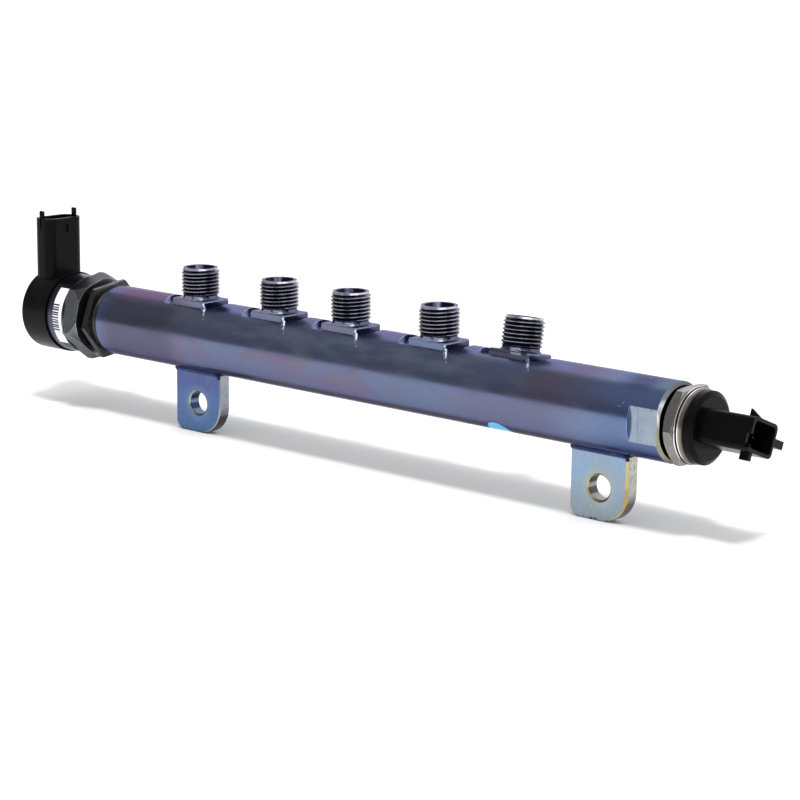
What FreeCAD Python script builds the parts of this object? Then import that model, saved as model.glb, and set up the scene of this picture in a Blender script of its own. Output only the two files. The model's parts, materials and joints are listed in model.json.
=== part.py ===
"""High-pressure fuel rail with a pressure-control valve and a pressure sensor.

Row frame, in millimetres: the origin is midway between the two bracket holes,
+X runs along the rail from the valve to the sensor, +Y points away from the
front and +Z points up. The rail's axis lies above the origin by rail_height.

Turned pieces are drawn as half sections, radius against distance along their
own axis, and then laid along the rail. Distances on the valve are counted
outward from the rail's left end, and on the sensor from its right end.
"""
import FreeCAD, Part
import os
import re
import Sketcher

document = FreeCAD.newDocument("FuelRail")

# Driving sizes, in millimetres and degrees
SIZES = {
    # Rail tube
    "rail_radius": 15.0,
    "rail_left": 156.2,
    "rail_right": 138.1,
    "rail_height": 29.0,
    "rail_bore_radius": 5.0,
    "left_chamfer": 0.9,
    "right_chamfer": 1.2,
    "flat_length": 13.0,
    "flat_half_width": 13.5,
    # Ports on top of the rail
    "port_one_x": -106.0,
    "port_two_x": -60.2,
    "port_three_x": -20.9,
    "port_four_x": 25.0,
    "port_five_x": 62.8,
    "port_five_tilt": 10.0,
    "pad_length": 18.8,
    "pad_width": 15.0,
    "pad_top": 15.7,
    "pad_floor": 12.8,
    "pad_chamfer": 0.5,
    "pad_root": 3.0,
    "spot_radius": 16.0,
    "port_neck_radius": 7.2,
    "port_neck_height": 1.5,
    "port_thread_radius": 8.0,
    "port_top": 28.8,
    "port_chamfer_width": 0.8,
    "port_chamfer_height": 1.4,
    "port_foot_radius": 1.4,
    "port_wall": 1.95,
    "port_cone_angle": 60.0,
    "port_hole_radius": 1.6,
    "throttle_radius": 0.5,
    "throttle_top": 9.0,
    "corner_rib_length": 7.4,
    "corner_rib_radius": 0.95,
    "corner_rib_tip": 0.55,
    # Fuel return on the back
    "return_x": 132.7,
    "return_face": 13.9,
    "return_face_radius": 7.5,
    "return_thread_radius": 5.0,
    "return_thread_depth": 4.9,
    "return_drill_radius": 1.6,
    "return_chamfer": 0.6,
    # Brackets and their welds
    "bolt_spacing": 210.0,
    "bracket_width": 26.2,
    "bracket_thickness": 6.0,
    "bracket_drop": 12.5,
    "bracket_left_corner": 4.3,
    "bracket_right_corner": 12.0,
    "bracket_hole_radius": 4.75,
    "bracket_hole_chamfer": 0.8,
    "bracket_edge": 0.5,
    "seat_mill": 0.4,
    "seat_margin": 1.5,
    "bracket_fit": 0.05,
    "weld_leg": 0.9,
    "weld_end": 0.3,
    "weld_drop": 1.3,
    "weld_edge": 0.8,
    # Rail's left end, where the valve goes in
    "valve_thread_radius": 10.0,
    "valve_thread_depth": 14.0,
    "nose_bore_radius": 7.5,
    "nose_bore_length": 14.0,
    "thread_clearance": 0.05,
    "nose_clearance": 0.06,
    "press_clearance": 0.02,
    # Valve union nut
    "nut_gap": 0.9,
    "nut_shoulder_width": 2.0,
    "nut_shoulder_radius": 14.4,
    "nut_width": 3.3,
    "nut_flats": 30.6,
    "nut_turn": 22.0,
    "nut_bore_clearance": 0.2,
    "nut_chamfer": 0.7,
    # Valve body, the turned piece that seals in the rail
    "neck_radius": 7.5,
    "flange_radius": 9.3,
    "flange_width": 3.2,
    "land_length": 6.4,
    "groove_lead": 1.0,
    "groove_width": 3.9,
    "groove_depth": 2.04,
    "nose_radius": 6.6,
    "seat_radius": 4.5,
    "seat_length": 4.0,
    "chamber_radius": 2.6,
    "chamber_length": 3.4,
    "drain_radius": 0.8,
    "pin_radius": 1.2,
    "pin_clearance": 0.03,
    # Valve seat, ball and seals
    "orifice_radius": 0.4,
    "inlet_radius": 1.5,
    "inlet_depth": 2.0,
    "seat_cone_radius": 1.5,
    "ball_radius": 1.3,
    "ball_gap": 0.05,
    "oring_radius": 1.0,
    "backup_ring_width": 1.5,
    # Valve housing, the steel hexagon
    "hex_gap": 3.5,
    "hex_width": 8.8,
    "hex_flats": 33.0,
    "hex_turn": 12.0,
    "hex_front_radius": 17.0,
    "hex_front_chamfer": 4.2,
    "hex_back_chamfer": 1.4,
    "neck_grip": 2.5,
    "pole_radius": 7.1,
    "pole_length": 1.8,
    "pole_hole_clearance": 0.5,
    # Solenoid
    "cup_length": 18.0,
    "cup_wall": 0.57,
    "cup_end": 0.8,
    "armature_clearance": 0.08,
    "armature_length": 11.0,
    "air_gap": 0.2,
    "pin_grip": 6.0,
    "spring_pocket_radius": 3.2,
    "spring_pocket_depth": 3.5,
    "spring_radius": 2.4,
    "spring_wire_radius": 0.4,
    "spring_turns": 5.0,
    "coil_clearance": 0.1,
    "bobbin_wall": 1.2,
    "bobbin_flange": 1.3,
    "winding_depth": 5.6,
    "can_radius": 17.0,
    "can_wall": 1.1,
    "can_length": 18.5,
    "flux_ring_width": 2.0,
    "flux_notch_width": 10.0,
    "flux_notch_bottom": 11.0,
    # Label on the can
    "label_thickness": 0.15,
    "label_width": 5.6,
    "label_margin": 0.6,
    "label_start": 133.0,
    "label_sweep": 88.0,
    # Valve cap and its connector tower
    "cap_radius": 17.72,
    "cap_start": 29.1,
    "cap_length": 16.1,
    "cap_edge": 0.9,
    "tower_offset": 39.6,
    "tower_depth": 11.2,
    "tower_width": 19.8,
    "tower_corner": 4.2,
    "tower_height": 41.15,
    "tower_root": 8.0,
    "socket_wall": 1.3,
    "socket_depth": 17.0,
    "rim_tab_height": 3.3,
    "rim_tab_width": 2.1,
    "rim_tab_thickness": 1.2,
    "rim_tab_offset": 9.2,
    "latch_window_width": 4.0,
    "latch_window_offset": 1.0,
    "latch_window_height": 3.4,
    "latch_window_drop": 2.9,
    "latch_window_depth": 0.7,
    "tab_groove_width": 1.1,
    "tab_groove_height": 4.4,
    "tab_groove_depth": 0.5,
    "terminal_pitch": 5.8,
    "terminal_width": 2.8,
    "terminal_thickness": 0.8,
    "terminal_reach": 8.6,
    "terminal_foot": 12.0,
    # Rail's right end, where the sensor goes in
    "sensor_thread_radius": 9.0,
    "sensor_thread_depth": 13.0,
    "sensor_seat_depth": 1.2,
    # Sensor body
    "sensor_tip_length": 0.7,
    "sensor_thread_end": 1.5,
    "sensor_neck_radius": 7.8,
    "sensor_hex_gap": 1.2,
    "sensor_hex_width": 5.0,
    "sensor_hex_flats": 27.0,
    "sensor_hex_turn": 31.0,
    "sensor_hex_chamfer": 0.6,
    "sensor_lip_radius": 14.05,
    "sensor_lip_width": 0.7,
    "sensor_groove_width": 0.3,
    "sensor_channel_radius": 1.2,
    "shell_fit": 0.05,
    "shell_inner_radius": 12.2,
    "cavity_radius": 9.6,
    "cavity_depth": 2.1,
    "board_radius": 10.3,
    "board_thickness": 1.0,
    "board_rim": 0.2,
    "element_radius": 4.5,
    "element_height": 2.0,
    "membrane_thickness": 0.4,
    "membrane_radius": 1.6,
    # Crimped shell
    "shell_width": 2.2,
    "shell_radius": 13.85,
    "shell_end_radius": 13.5,
    # Sensor connector
    "disc_radius": 13.4,
    "disc_width": 2.5,
    "disc_face_radius": 11.7,
    "disc_slope": 1.1,
    "spigot_length": 1.4,
    "spigot_pocket_radius": 9.4,
    "spigot_pocket_depth": 1.6,
    "seal_radius": 0.55,
    "plug_length": 24.8,
    "plug_width": 16.6,
    "plug_height": 12.6,
    "plug_corner": 2.2,
    "plug_roll": 21.3,
    "plug_wall": 1.3,
    "plug_socket_depth": 12.5,
    "latch_length": 4.7,
    "latch_height": 2.8,
    "latch_width": 1.1,
    "latch_offset": 3.3,
    "latch_setback": 0.3,
    "lower_rib_length": 3.7,
    "lower_rib_height": 2.9,
    "lower_rib_width": 2.0,
    "lower_rib_offset": 3.5,
    "lower_rib_setback": 1.1,
    "side_rib_length": 3.0,
    "side_rib_height": 3.0,
    "side_rib_reach": 6.1,
    "side_rib_setback": 0.1,
    "mouth_step": 1.5,
    "key_rib_height": 2.4,
    "key_rib_depth": 1.0,
    "key_rib_length": 11.0,
    "pin_pitch": 4.2,
    "pin_width": 1.5,
    "pin_thickness": 0.65,
    "pin_reach": 6.3,
    "contact_radius": 0.9,
    "contact_collar": 0.35,
}

sheet = document.addObject("Spreadsheet::Sheet", "Sizes")
for row, (alias, number) in enumerate(SIZES.items(), start=1):
    sheet.set("A%d" % row, alias)
    sheet.set("B%d" % row, str(number))
    sheet.setAlias("B%d" % row, alias)
document.recompute()

# Distances along the valve, outward from the rail's left end
NOSE_TIP = "(0 - valve_thread_depth - nose_bore_length)"
FLANGE_START = "(0 - valve_thread_depth)"
SHANK_END = "(flange_width - valve_thread_depth)"
LAND_START = "(0 - valve_thread_depth - land_length)"
HEX_FRONT = "(nut_gap + nut_shoulder_width + nut_width + hex_gap)"
HEX_BACK = "(nut_gap + nut_shoulder_width + nut_width + hex_gap + hex_width)"
NECK_END = "(nut_gap + nut_shoulder_width + nut_width + hex_gap + neck_grip)"
ARMATURE_START = "(nut_gap + nut_shoulder_width + nut_width + hex_gap + hex_width + pole_length + air_gap)"
ARMATURE_END = "(%s + armature_length)" % ARMATURE_START
CAN_END = "(%s + can_length)" % HEX_BACK
SEAT_FACE = "(seat_length - valve_thread_depth - nose_bore_length)"
BALL_CENTRE = "(%s - seat_cone_radius + ball_radius * sqrt(2) + ball_gap)" % SEAT_FACE
PIN_START = "(%s + ball_radius)" % BALL_CENTRE
GROOVE_START = "(%s + groove_lead)" % LAND_START
GROOVE_BOTTOM = "(nose_bore_radius - nose_clearance - groove_depth)"
SPRING_START = "(%s - spring_pocket_depth)" % ARMATURE_END
SPRING_END = "(%s + cup_length - cup_end)" % HEX_BACK
CUP_INNER = "(pole_radius + pin_clearance)"
CUP_OUTER = "(pole_radius + pin_clearance + cup_wall)"
BOBBIN_START = "(%s + coil_clearance)" % HEX_BACK
BOBBIN_END = "(%s + can_length - flux_ring_width)" % HEX_BACK
BOBBIN_CORE = "(%s + coil_clearance + bobbin_wall)" % CUP_OUTER
BOBBIN_RIM = "(can_radius - can_wall - coil_clearance)"

# Distances along the sensor, outward from the rail's right end
SEAT_CONE_END = "(0 - sensor_thread_depth - sensor_seat_depth)"
SENSOR_HEX_BACK = "(sensor_hex_gap + sensor_hex_width)"
SHELL_START = "(sensor_hex_gap + sensor_hex_width + sensor_lip_width + sensor_groove_width)"
SHELL_END = "(%s + shell_width)" % SHELL_START
BODY_END = "(%s + shell_width - spigot_length - 2 * shell_fit)" % SHELL_START
BOARD_SEAT = "(%s - board_thickness - board_rim)" % BODY_END
CAVITY_FLOOR = "(%s - cavity_depth)" % BOARD_SEAT
BOARD_TOP = "(%s + board_thickness)" % BOARD_SEAT
SPIGOT_START = "(%s - spigot_length)" % SHELL_END
POCKET_FLOOR = "(%s + spigot_pocket_depth)" % SPIGOT_START
DISC_FACE = "(%s + disc_width + disc_slope)" % SHELL_END
MOUTH = "(%s + plug_length)" % SHELL_END
SOCKET_FLOOR = "(%s + plug_length - plug_socket_depth)" % SHELL_END

WORD = re.compile(r"[a-z_]{3,}")


def tied(expression):
    """The expression with every size written as a cell of the sheet."""

    def cell(match):
        word = match.group()
        return "Sizes." + word if word in SIZES else word

    return WORD.sub(cell, str(expression))


def bind(item, **expressions):
    """Ties properties of an object, such as Radius="rail_radius", to the sheet."""
    for name, expression in expressions.items():
        item.setExpression(name, tied(expression))
    return item


def place(item, x="0", y="0", z="0"):
    """Ties the position of an object to the sheet."""
    for axis, expression in (("x", x), ("y", y), ("z", z)):
        if expression != "0":
            item.setExpression("Placement.Base." + axis, tied(expression))
    return item


def turn(item, axis, angle):
    """Turns an object about its own origin, by a number or by an expression."""
    direction = FreeCAD.Vector(axis == "x", axis == "y", axis == "z")
    start = angle if isinstance(angle, (int, float)) else 1.0
    item.Placement = FreeCAD.Placement(item.Placement.Base, FreeCAD.Rotation(direction, start))
    if start is not angle:
        item.setExpression("Placement.Rotation.Angle", tied(angle))
    return item


def origin_plane(body, role):
    return next(plane for plane in body.Origin.OriginFeatures if plane.Role == role)


def new_sketch(body, role, name):
    sketch = body.newObject("Sketcher::SketchObject", name)
    sketch.AttachmentSupport = [(origin_plane(body, role), "")]
    sketch.MapMode = "FlatFace"
    return sketch


def draw_corners(sketch, corners):
    """A closed outline of straight edges, each corner tied to two distances."""
    count = len(corners)
    rough = [FreeCAD.Vector(1 + index, 1 + index * index, 0) for index in range(count)]
    for index in range(count):
        sketch.addGeometry(Part.LineSegment(rough[index], rough[(index + 1) % count]))
    for index in range(count):
        sketch.addConstraint(
            Sketcher.Constraint("Coincident", index, 2, (index + 1) % count, 1))
    for index, (across, along) in enumerate(corners):
        for kind, expression in (("DistanceX", across), ("DistanceY", along)):
            if expression == "0":
                line = -2 if kind == "DistanceX" else -1
                sketch.addConstraint(Sketcher.Constraint("PointOnObject", index, 1, line))
                continue
            start = rough[index].x if kind == "DistanceX" else rough[index].y
            constraint = Sketcher.Constraint(kind, -1, 1, index, 1, start)
            number = sketch.addConstraint(constraint)
            sketch.setExpression("Constraints[%d]" % number, tied(expression))


def turned(name, corners):
    """A solid turned about its own Z axis from a half section of (radius, distance)."""
    body = document.addObject("PartDesign::Body", name)
    sketch = new_sketch(body, "XZ_Plane", name + "_section")
    draw_corners(sketch, corners)
    revolution = body.newObject("PartDesign::Revolution", name + "_turning")
    revolution.Profile = sketch
    revolution.ReferenceAxis = (sketch, ["V_Axis"])
    revolution.Angle = 360.0
    return body


def extruded(name, role, corners, length, midplane=False):
    """A straight-sided outline on one origin plane, extruded along that plane's normal."""
    body = document.addObject("PartDesign::Body", name)
    sketch = new_sketch(body, role, name + "_outline")
    draw_corners(sketch, corners)
    pad = body.newObject("PartDesign::Pad", name + "_pad")
    pad.Profile = sketch
    pad.Midplane = midplane
    bind(pad, Length=length)
    return body


def rectangle(width, height):
    """The corners of a rectangle centred on the sketch's origin."""
    right, top = "(%s) / 2" % width, "(%s) / 2" % height
    return [("0 - " + right, "0 - " + top), (right, "0 - " + top),
            (right, top), ("0 - " + right, top)]


def dress(body, kind, edge_test, **sizes):
    """Adds a fillet or chamfer on the edges of the body's tip that pass the test."""
    document.recompute()
    base = body.Tip
    names = ["Edge%d" % (number + 1) for number, edge in enumerate(base.Shape.Edges)
             if edge_test(edge)]
    feature = body.newObject("PartDesign::" + kind, body.Name + "_" + kind.lower())
    feature.Base = (base, names)
    bind(feature, **sizes)
    return body


def runs_along(direction):
    """A test for straight edges parallel to a direction."""

    def test(edge):
        if not isinstance(edge.Curve, Part.Line):
            return False
        return abs(edge.Curve.Direction.dot(direction)) > 0.999

    return test


def rounded_bar(name, role, width, height, length, corner):
    """A rounded rectangular bar that leaves its origin plane along the normal."""
    body = extruded(name, role, rectangle(width, height), length)
    normal = FreeCAD.Vector(role == "YZ_Plane", 0, role == "XY_Plane")
    return dress(body, "Fillet", runs_along(normal), Radius=corner)


def box(name, length, width, height, x="0", y="0", z="0"):
    """A box with its corner at x, y, z."""
    item = document.addObject("Part::Box", name)
    bind(item, Length=length, Width=width, Height=height)
    return place(item, x, y, z)


def cylinder(name, radius, height, x="0", y="0", z="0"):
    item = document.addObject("Part::Cylinder", name)
    bind(item, Radius=radius, Height=height)
    return place(item, x, y, z)


def hex_bar(name, flats, height, turn_angle, z="0"):
    """A hexagonal bar along Z, turned about its axis."""
    item = document.addObject("Part::Prism", name)
    item.Polygon = 6
    bind(item, Circumradius="%s / sqrt(3)" % flats, Height=height)
    turn(item, "z", turn_angle)
    return place(item, z=z)


def join(name, pieces):
    item = document.addObject("Part::MultiFuse", name)
    item.Shapes = pieces
    return item


def carry(name, piece):
    """Holds a piece as it lies, so that the holder can be placed again."""
    item = document.addObject("Part::Compound", name)
    item.Links = [piece]
    return item


def cut(name, base, tool):
    item = document.addObject("Part::Cut", name)
    item.Base = base
    item.Tool = tool
    return item


def overlap(name, first, second):
    item = document.addObject("Part::Common", name)
    item.Base = first
    item.Tool = second
    return item


def lay_left(item, start):
    """Lays a piece's Z axis along the rail, pointing out of the left end."""
    turn(item, "y", -90)
    return place(item, x="0 - rail_left - (%s)" % start, z="rail_height")


def lay_right(item, start):
    """Lays a piece's Z axis along the rail, pointing out of the right end."""
    turn(item, "y", 90)
    return place(item, x="rail_right + (%s)" % start, z="rail_height")


nodes = []


def node(item, label):
    """Marks a finished piece and gives it the name of its file."""
    item.Label = label
    nodes.append(item)
    return item


def rail_tube():
    """The turned tube, with the valve's bore at the left and the sensor's at the right."""
    length = "(rail_left + rail_right)"
    sensor_floor = "%s - sensor_thread_depth" % length
    corners = [
        ("valve_thread_radius + left_chamfer", "0"),
        ("rail_radius - left_chamfer", "0"),
        ("rail_radius", "left_chamfer"),
        ("rail_radius", "%s - right_chamfer" % length),
        ("rail_radius - right_chamfer", length),
        ("sensor_thread_radius + left_chamfer", length),
        ("sensor_thread_radius", "%s - left_chamfer" % length),
        ("sensor_thread_radius", sensor_floor),
        ("rail_bore_radius + sensor_seat_depth", sensor_floor),
        ("rail_bore_radius", "%s - sensor_seat_depth" % sensor_floor),
        ("rail_bore_radius", "valve_thread_depth + nose_bore_length"),
        ("nose_bore_radius", "valve_thread_depth + nose_bore_length"),
        ("nose_bore_radius", "valve_thread_depth"),
        ("valve_thread_radius", "valve_thread_depth"),
        ("valve_thread_radius", "left_chamfer"),
    ]
    tube = turned("rail_tube", corners)
    turn(tube, "y", 90)
    return place(tube, x="0 - rail_left", z="rail_height")


def stand_on_rail(item, x, tilt):
    """Places a port's piece at its station, leaning toward +Y by the tilt."""
    if tilt:
        turn(item, "x", "0 - " + tilt)
    return place(item, x=x, z="rail_height")


def port(name, x, tilt=None):
    """One port: its pad and stub, the milled spot round the pad and the drilled way in."""
    pad = extruded(name + "_pad", "XY_Plane", rectangle("pad_length", "pad_width"),
                   "pad_top - pad_floor + pad_root")
    upright = runs_along(FreeCAD.Vector(0, 0, 1))

    def outer_edge(edge):
        middle = edge.valueAt((edge.FirstParameter + edge.LastParameter) / 2)
        return upright(edge) or middle.z > pad.Tip.Shape.BoundBox.ZMax - 0.001

    dress(pad, "Chamfer", outer_edge, Size="pad_chamfer")
    place(pad, z="pad_floor - pad_root")

    neck_top = "pad_top + port_neck_height"
    step = "(port_thread_radius - port_neck_radius)"
    stub = turned(name + "_stub", [
        ("0", "pad_floor"),
        ("port_neck_radius", "pad_floor"),
        ("port_neck_radius", neck_top),
        ("port_thread_radius", "%s + %s" % (neck_top, step)),
        ("port_thread_radius", "port_top - port_chamfer_height"),
        ("port_thread_radius - port_chamfer_width", "port_top"),
        ("0", "port_top"),
    ])

    flare = turned(name + "_flare", [
        ("0", "pad_floor"),
        ("port_neck_radius + port_foot_radius", "pad_floor"),
        ("port_neck_radius + port_foot_radius", "pad_top"),
        ("port_neck_radius + port_foot_radius * 0.5", "pad_top + port_foot_radius * 0.134"),
        ("port_neck_radius + port_foot_radius * 0.134", "pad_top + port_foot_radius * 0.5"),
        ("port_neck_radius", "pad_top + port_foot_radius"),
        ("0", "pad_top + port_foot_radius"),
    ])
    milled_square = box(name + "_square", "pad_length - 2 * pad_chamfer", "pad_width - 2 * pad_chamfer",
                        "port_top", "pad_chamfer - pad_length / 2", "pad_chamfer - pad_width / 2")
    foot = overlap(name + "_foot", flare, milled_square)

    rib = document.addObject("Part::Cone", name + "_rib")
    bind(rib, Radius1="corner_rib_radius", Radius2="corner_rib_tip", Height="corner_rib_length")
    downhill = FreeCAD.Vector(4.4, -4.5, -4.1)
    rib.Placement.Rotation = FreeCAD.Rotation(FreeCAD.Vector(0, 0, 1), downhill)
    place(rib, x="pad_length / 2 - corner_rib_radius / 2", y="corner_rib_radius / 2 - pad_width / 2",
          z="pad_floor + corner_rib_radius / 2")

    solid = join(name + "_solid", [pad, stub, foot, rib])
    stand_on_rail(solid, x, tilt)

    mouth_radius = "(port_thread_radius - port_wall)"
    cone_drop = "((%s - port_hole_radius) / tan(port_cone_angle / 2 * 1 deg))" % mouth_radius
    way_in = turned(name + "_way_in", [
        ("0", "0"),
        ("throttle_radius", "0"),
        ("throttle_radius", "throttle_top"),
        ("port_hole_radius", "throttle_top"),
        ("port_hole_radius", "port_top - " + cone_drop),
        (mouth_radius, "port_top"),
        (mouth_radius, "port_top + 1"),
        ("0", "port_top + 1"),
    ])
    stand_on_rail(way_in, x, tilt)

    spot = cylinder(name + "_spot", "spot_radius", "rail_radius", z="pad_floor")
    island = box(name + "_island", "pad_length - 1", "pad_width - 1", "rail_radius",
                 "(1 - pad_length) / 2", "(1 - pad_width) / 2", "pad_floor")
    milled = cut(name + "_milled", spot, island)
    stand_on_rail(milled, x, tilt)
    return solid, way_in, milled


def rail_body():
    """Forged and machined rail: tube, five ports, wrench flats and the return port."""
    stations = [("port_one", "port_one_x", None), ("port_two", "port_two_x", None),
                ("port_three", "port_three_x", None), ("port_four", "port_four_x", None),
                ("port_five", "port_five_x", "port_five_tilt")]
    solids, ways_in, milled = zip(*(port(*station) for station in stations))

    flat_start = "rail_right - flat_length"
    flats = []
    for side, y in (("front", "0 - flat_half_width - rail_radius"), ("back", "flat_half_width")):
        flats.append(box("flat_" + side, "flat_length + 1", "rail_radius", "2 * rail_radius",
                         flat_start, y, "rail_height - rail_radius"))

    drill_floor = "(return_face - return_thread_depth)"
    fuel_return = turned("return_way", [
        ("0", "nose_bore_radius - 1"),
        ("return_drill_radius", "nose_bore_radius - 1"),
        ("return_drill_radius", drill_floor),
        ("return_thread_radius", drill_floor),
        ("return_thread_radius", "return_face - return_chamfer"),
        ("return_thread_radius + return_chamfer", "return_face"),
        ("return_face_radius", "return_face"),
        ("return_face_radius", "rail_radius + 1"),
        ("0", "rail_radius + 1"),
    ])
    turn(fuel_return, "x", -90)
    place(fuel_return, x="0 - return_x", z="rail_height")

    blank = cut("rail_milled", rail_tube(), join("spot_faces", list(milled)))
    forged = join("rail_forged", [blank] + list(solids))
    return node(cut("rail", forged, join("rail_cuts", list(ways_in) + flats + [fuel_return])),
                "rail_body")


def bracket(side, x):
    """A flat plate with two rounded lower corners, saddled to the rail, its back milled flat."""
    half, top = "bracket_width / 2", "rail_height - rail_radius / 2"
    plate = extruded("bracket_plate_" + side, "XZ_Plane", [
        ("0 - " + half, "0 - bracket_drop"),
        (half, "0 - bracket_drop"),
        (half, top),
        ("0 - " + half, top),
    ], "bracket_thickness", midplane=True)
    across = runs_along(FreeCAD.Vector(0, 1, 0))

    for corner, direction in (("left", -1), ("right", 1)):
        dress(plate, "Fillet", lambda edge: across(edge) and edge.CenterOfMass.z < 0
              and edge.CenterOfMass.x * direction > 0, Radius="bracket_%s_corner" % corner)

    def front_or_back(edge):
        return edge.BoundBox.YLength < 0.001 and edge.CenterOfMass.z < 0.6 * SIZES["rail_height"]

    dress(plate, "Chamfer", front_or_back, Size="bracket_edge")

    hole = turned("bracket_%s_hole" % side, [
        ("0", "0 - bracket_thickness"),
        ("bracket_hole_radius + bracket_hole_chamfer + bracket_thickness / 2",
         "0 - bracket_thickness"),
        ("bracket_hole_radius", "bracket_hole_chamfer - bracket_thickness / 2"),
        ("bracket_hole_radius", "bracket_thickness / 2 - bracket_hole_chamfer"),
        ("bracket_hole_radius + bracket_hole_chamfer + bracket_thickness / 2",
         "bracket_thickness"),
        ("0", "bracket_thickness"),
    ])
    turn(hole, "x", 90)
    saddle = cylinder("bracket_%s_saddle" % side, "rail_radius + bracket_fit", "2 * bracket_width")
    turn(saddle, "y", 90)
    place(saddle, x="0 - bracket_width", z="rail_height")
    seat = box("bracket_%s_seat" % side, "2 * bracket_width", "bracket_thickness",
               "rail_height - rail_radius - weld_drop - seat_margin + 2 * bracket_drop",
               "0 - bracket_width", "bracket_thickness / 2 - seat_mill", "0 - 2 * bracket_drop")
    piece = cut("bracket_%s_piece" % side, plate,
                join("bracket_%s_cuts" % side, [hole, saddle, seat]))
    place(piece, x=x)
    return node(piece, "bracket_" + side)


def bracket_weld(side, x):
    """The bead that runs round the top of a bracket, under the rail."""
    bottom = "rail_height - rail_radius - weld_drop"
    bead = extruded("weld_" + side, "XY_Plane",
                    rectangle("bracket_width + 2 * weld_end", "bracket_thickness + 2 * weld_leg"),
                    "2 * weld_drop + weld_leg")
    lowest = FreeCAD.Vector(0, 0, 0)

    def lower_edge(edge):
        return edge.BoundBox.ZMax < lowest.z + 0.001 or runs_along(FreeCAD.Vector(0, 0, 1))(edge)

    dress(bead, "Chamfer", lower_edge, Size="weld_edge")
    place(bead, z=bottom)
    slot = box("weld_%s_slot" % side, "bracket_width", "bracket_thickness", "rail_radius",
               "0 - bracket_width / 2", "0 - bracket_thickness / 2",
               "rail_height - 1.5 * rail_radius")
    saddle = cylinder("weld_%s_saddle" % side, "rail_radius + bracket_fit", "2 * bracket_width")
    turn(saddle, "y", 90)
    place(saddle, x="0 - bracket_width", z="rail_height")
    piece = cut("weld_%s_piece" % side, bead, join("weld_%s_cuts" % side, [slot, saddle]))
    place(piece, x=x)
    return node(piece, "bracket_weld_" + side)


def union_nut():
    """The captive union nut: a hollow threaded shank with a hexagonal head."""
    shoulder = "(nut_gap + valve_thread_depth - flange_width)"
    head_start = "(%s + nut_shoulder_width)" % shoulder
    head_end = "(%s + nut_width)" % head_start
    corner = "(nut_flats / sqrt(3))"
    bore = "neck_radius + nut_bore_clearance"
    thread = "valve_thread_radius - thread_clearance"
    head = turned("nut_head", [
        ("nut_flats / 2 - nut_chamfer", head_start),
        (corner, head_start + " + nut_chamfer"),
        (corner, head_end + " - nut_chamfer"),
        ("nut_flats / 2 - nut_chamfer", head_end),
        (bore, head_end),
        (bore, head_start),
    ])
    hexagon = hex_bar("nut_hexagon", "nut_flats", "nut_width", "nut_turn", z=head_start)
    shank = turned("nut_shank", [
        (bore, "0"),
        (thread + " - nut_chamfer", "0"),
        (thread, "nut_chamfer"),
        (thread, shoulder),
        ("nut_shoulder_radius - nut_chamfer", shoulder),
        ("nut_shoulder_radius", shoulder + " + nut_chamfer"),
        ("nut_shoulder_radius", head_start + " + nut_chamfer"),
        (bore, head_start + " + nut_chamfer"),
    ])
    nut = join("nut", [overlap("nut_head_flats", head, hexagon), shank])
    return node(lay_left(nut, SHANK_END), "valve_union_nut")


def valve_body():
    """The turned piece that carries the seat, guides the pin and seals in the rail."""

    def from_tip(distance):
        return "%s - %s" % (distance, NOSE_TIP)

    land = "nose_bore_radius - nose_clearance"
    guide = "pin_radius + pin_clearance"
    chamber_end = "seat_length + chamber_length"
    turning = turned("valve_turning", [
        ("seat_radius + press_clearance", "0"),
        ("nose_radius", "0"),
        ("nose_radius", from_tip(LAND_START)),
        (land, from_tip(LAND_START)),
        (land, from_tip(GROOVE_START)),
        (GROOVE_BOTTOM, from_tip(GROOVE_START)),
        (GROOVE_BOTTOM, from_tip(GROOVE_START) + " + groove_width"),
        (land, from_tip(GROOVE_START) + " + groove_width"),
        (land, from_tip(FLANGE_START)),
        ("flange_radius", from_tip(FLANGE_START)),
        ("flange_radius", from_tip(SHANK_END)),
        ("neck_radius", from_tip(SHANK_END)),
        ("neck_radius", from_tip(NECK_END)),
        (guide, from_tip(NECK_END)),
        (guide, chamber_end),
        ("chamber_radius", chamber_end),
        ("chamber_radius", "seat_length"),
        ("seat_radius + press_clearance", "seat_length"),
    ])
    drains = []
    for name, axis in (("drain_across", "x"), ("drain_upright", "y")):
        drain = cylinder(name, "drain_radius", "4 * nose_radius")
        turn(drain, axis, 90)
        shift = "2 * nose_radius" if axis == "x" else "0 - 2 * nose_radius"
        height = "seat_length + chamber_length / 2"
        drains.append(place(drain, y=shift if axis == "x" else "0",
                            x="0" if axis == "x" else shift, z=height))
    drilled = cut("valve_drilled", turning, join("drains", drains))
    return node(lay_left(drilled, NOSE_TIP), "valve_body")


def valve_seat():
    """The pressed-in seat, with its inlet, its orifice and the cone for the ball."""
    cone_bottom = "seat_length - seat_cone_radius + orifice_radius"
    seat = turned("seat", [
        ("inlet_radius", "0"),
        ("seat_radius", "0"),
        ("seat_radius", "seat_length"),
        ("seat_cone_radius", "seat_length"),
        ("orifice_radius", cone_bottom),
        ("orifice_radius", "inlet_depth"),
        ("inlet_radius", "inlet_depth"),
    ])
    return node(lay_left(seat, NOSE_TIP), "valve_seat")


def valve_ball():
    ball = document.addObject("Part::Sphere", "ball")
    bind(ball, Radius="ball_radius")
    return node(lay_left(ball, BALL_CENTRE), "valve_ball")


def valve_pin():
    """The pin from the armature to the ball, with a rounded-off end."""
    length = "(%s + pin_grip - %s)" % (ARMATURE_START, PIN_START)
    pin = turned("pin", [
        ("0", "0"),
        ("pin_radius - pin_radius / 4", "0"),
        ("pin_radius", "pin_radius / 4"),
        ("pin_radius", length),
        ("0", length),
    ])
    return node(lay_left(pin, PIN_START), "valve_pin")


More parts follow.
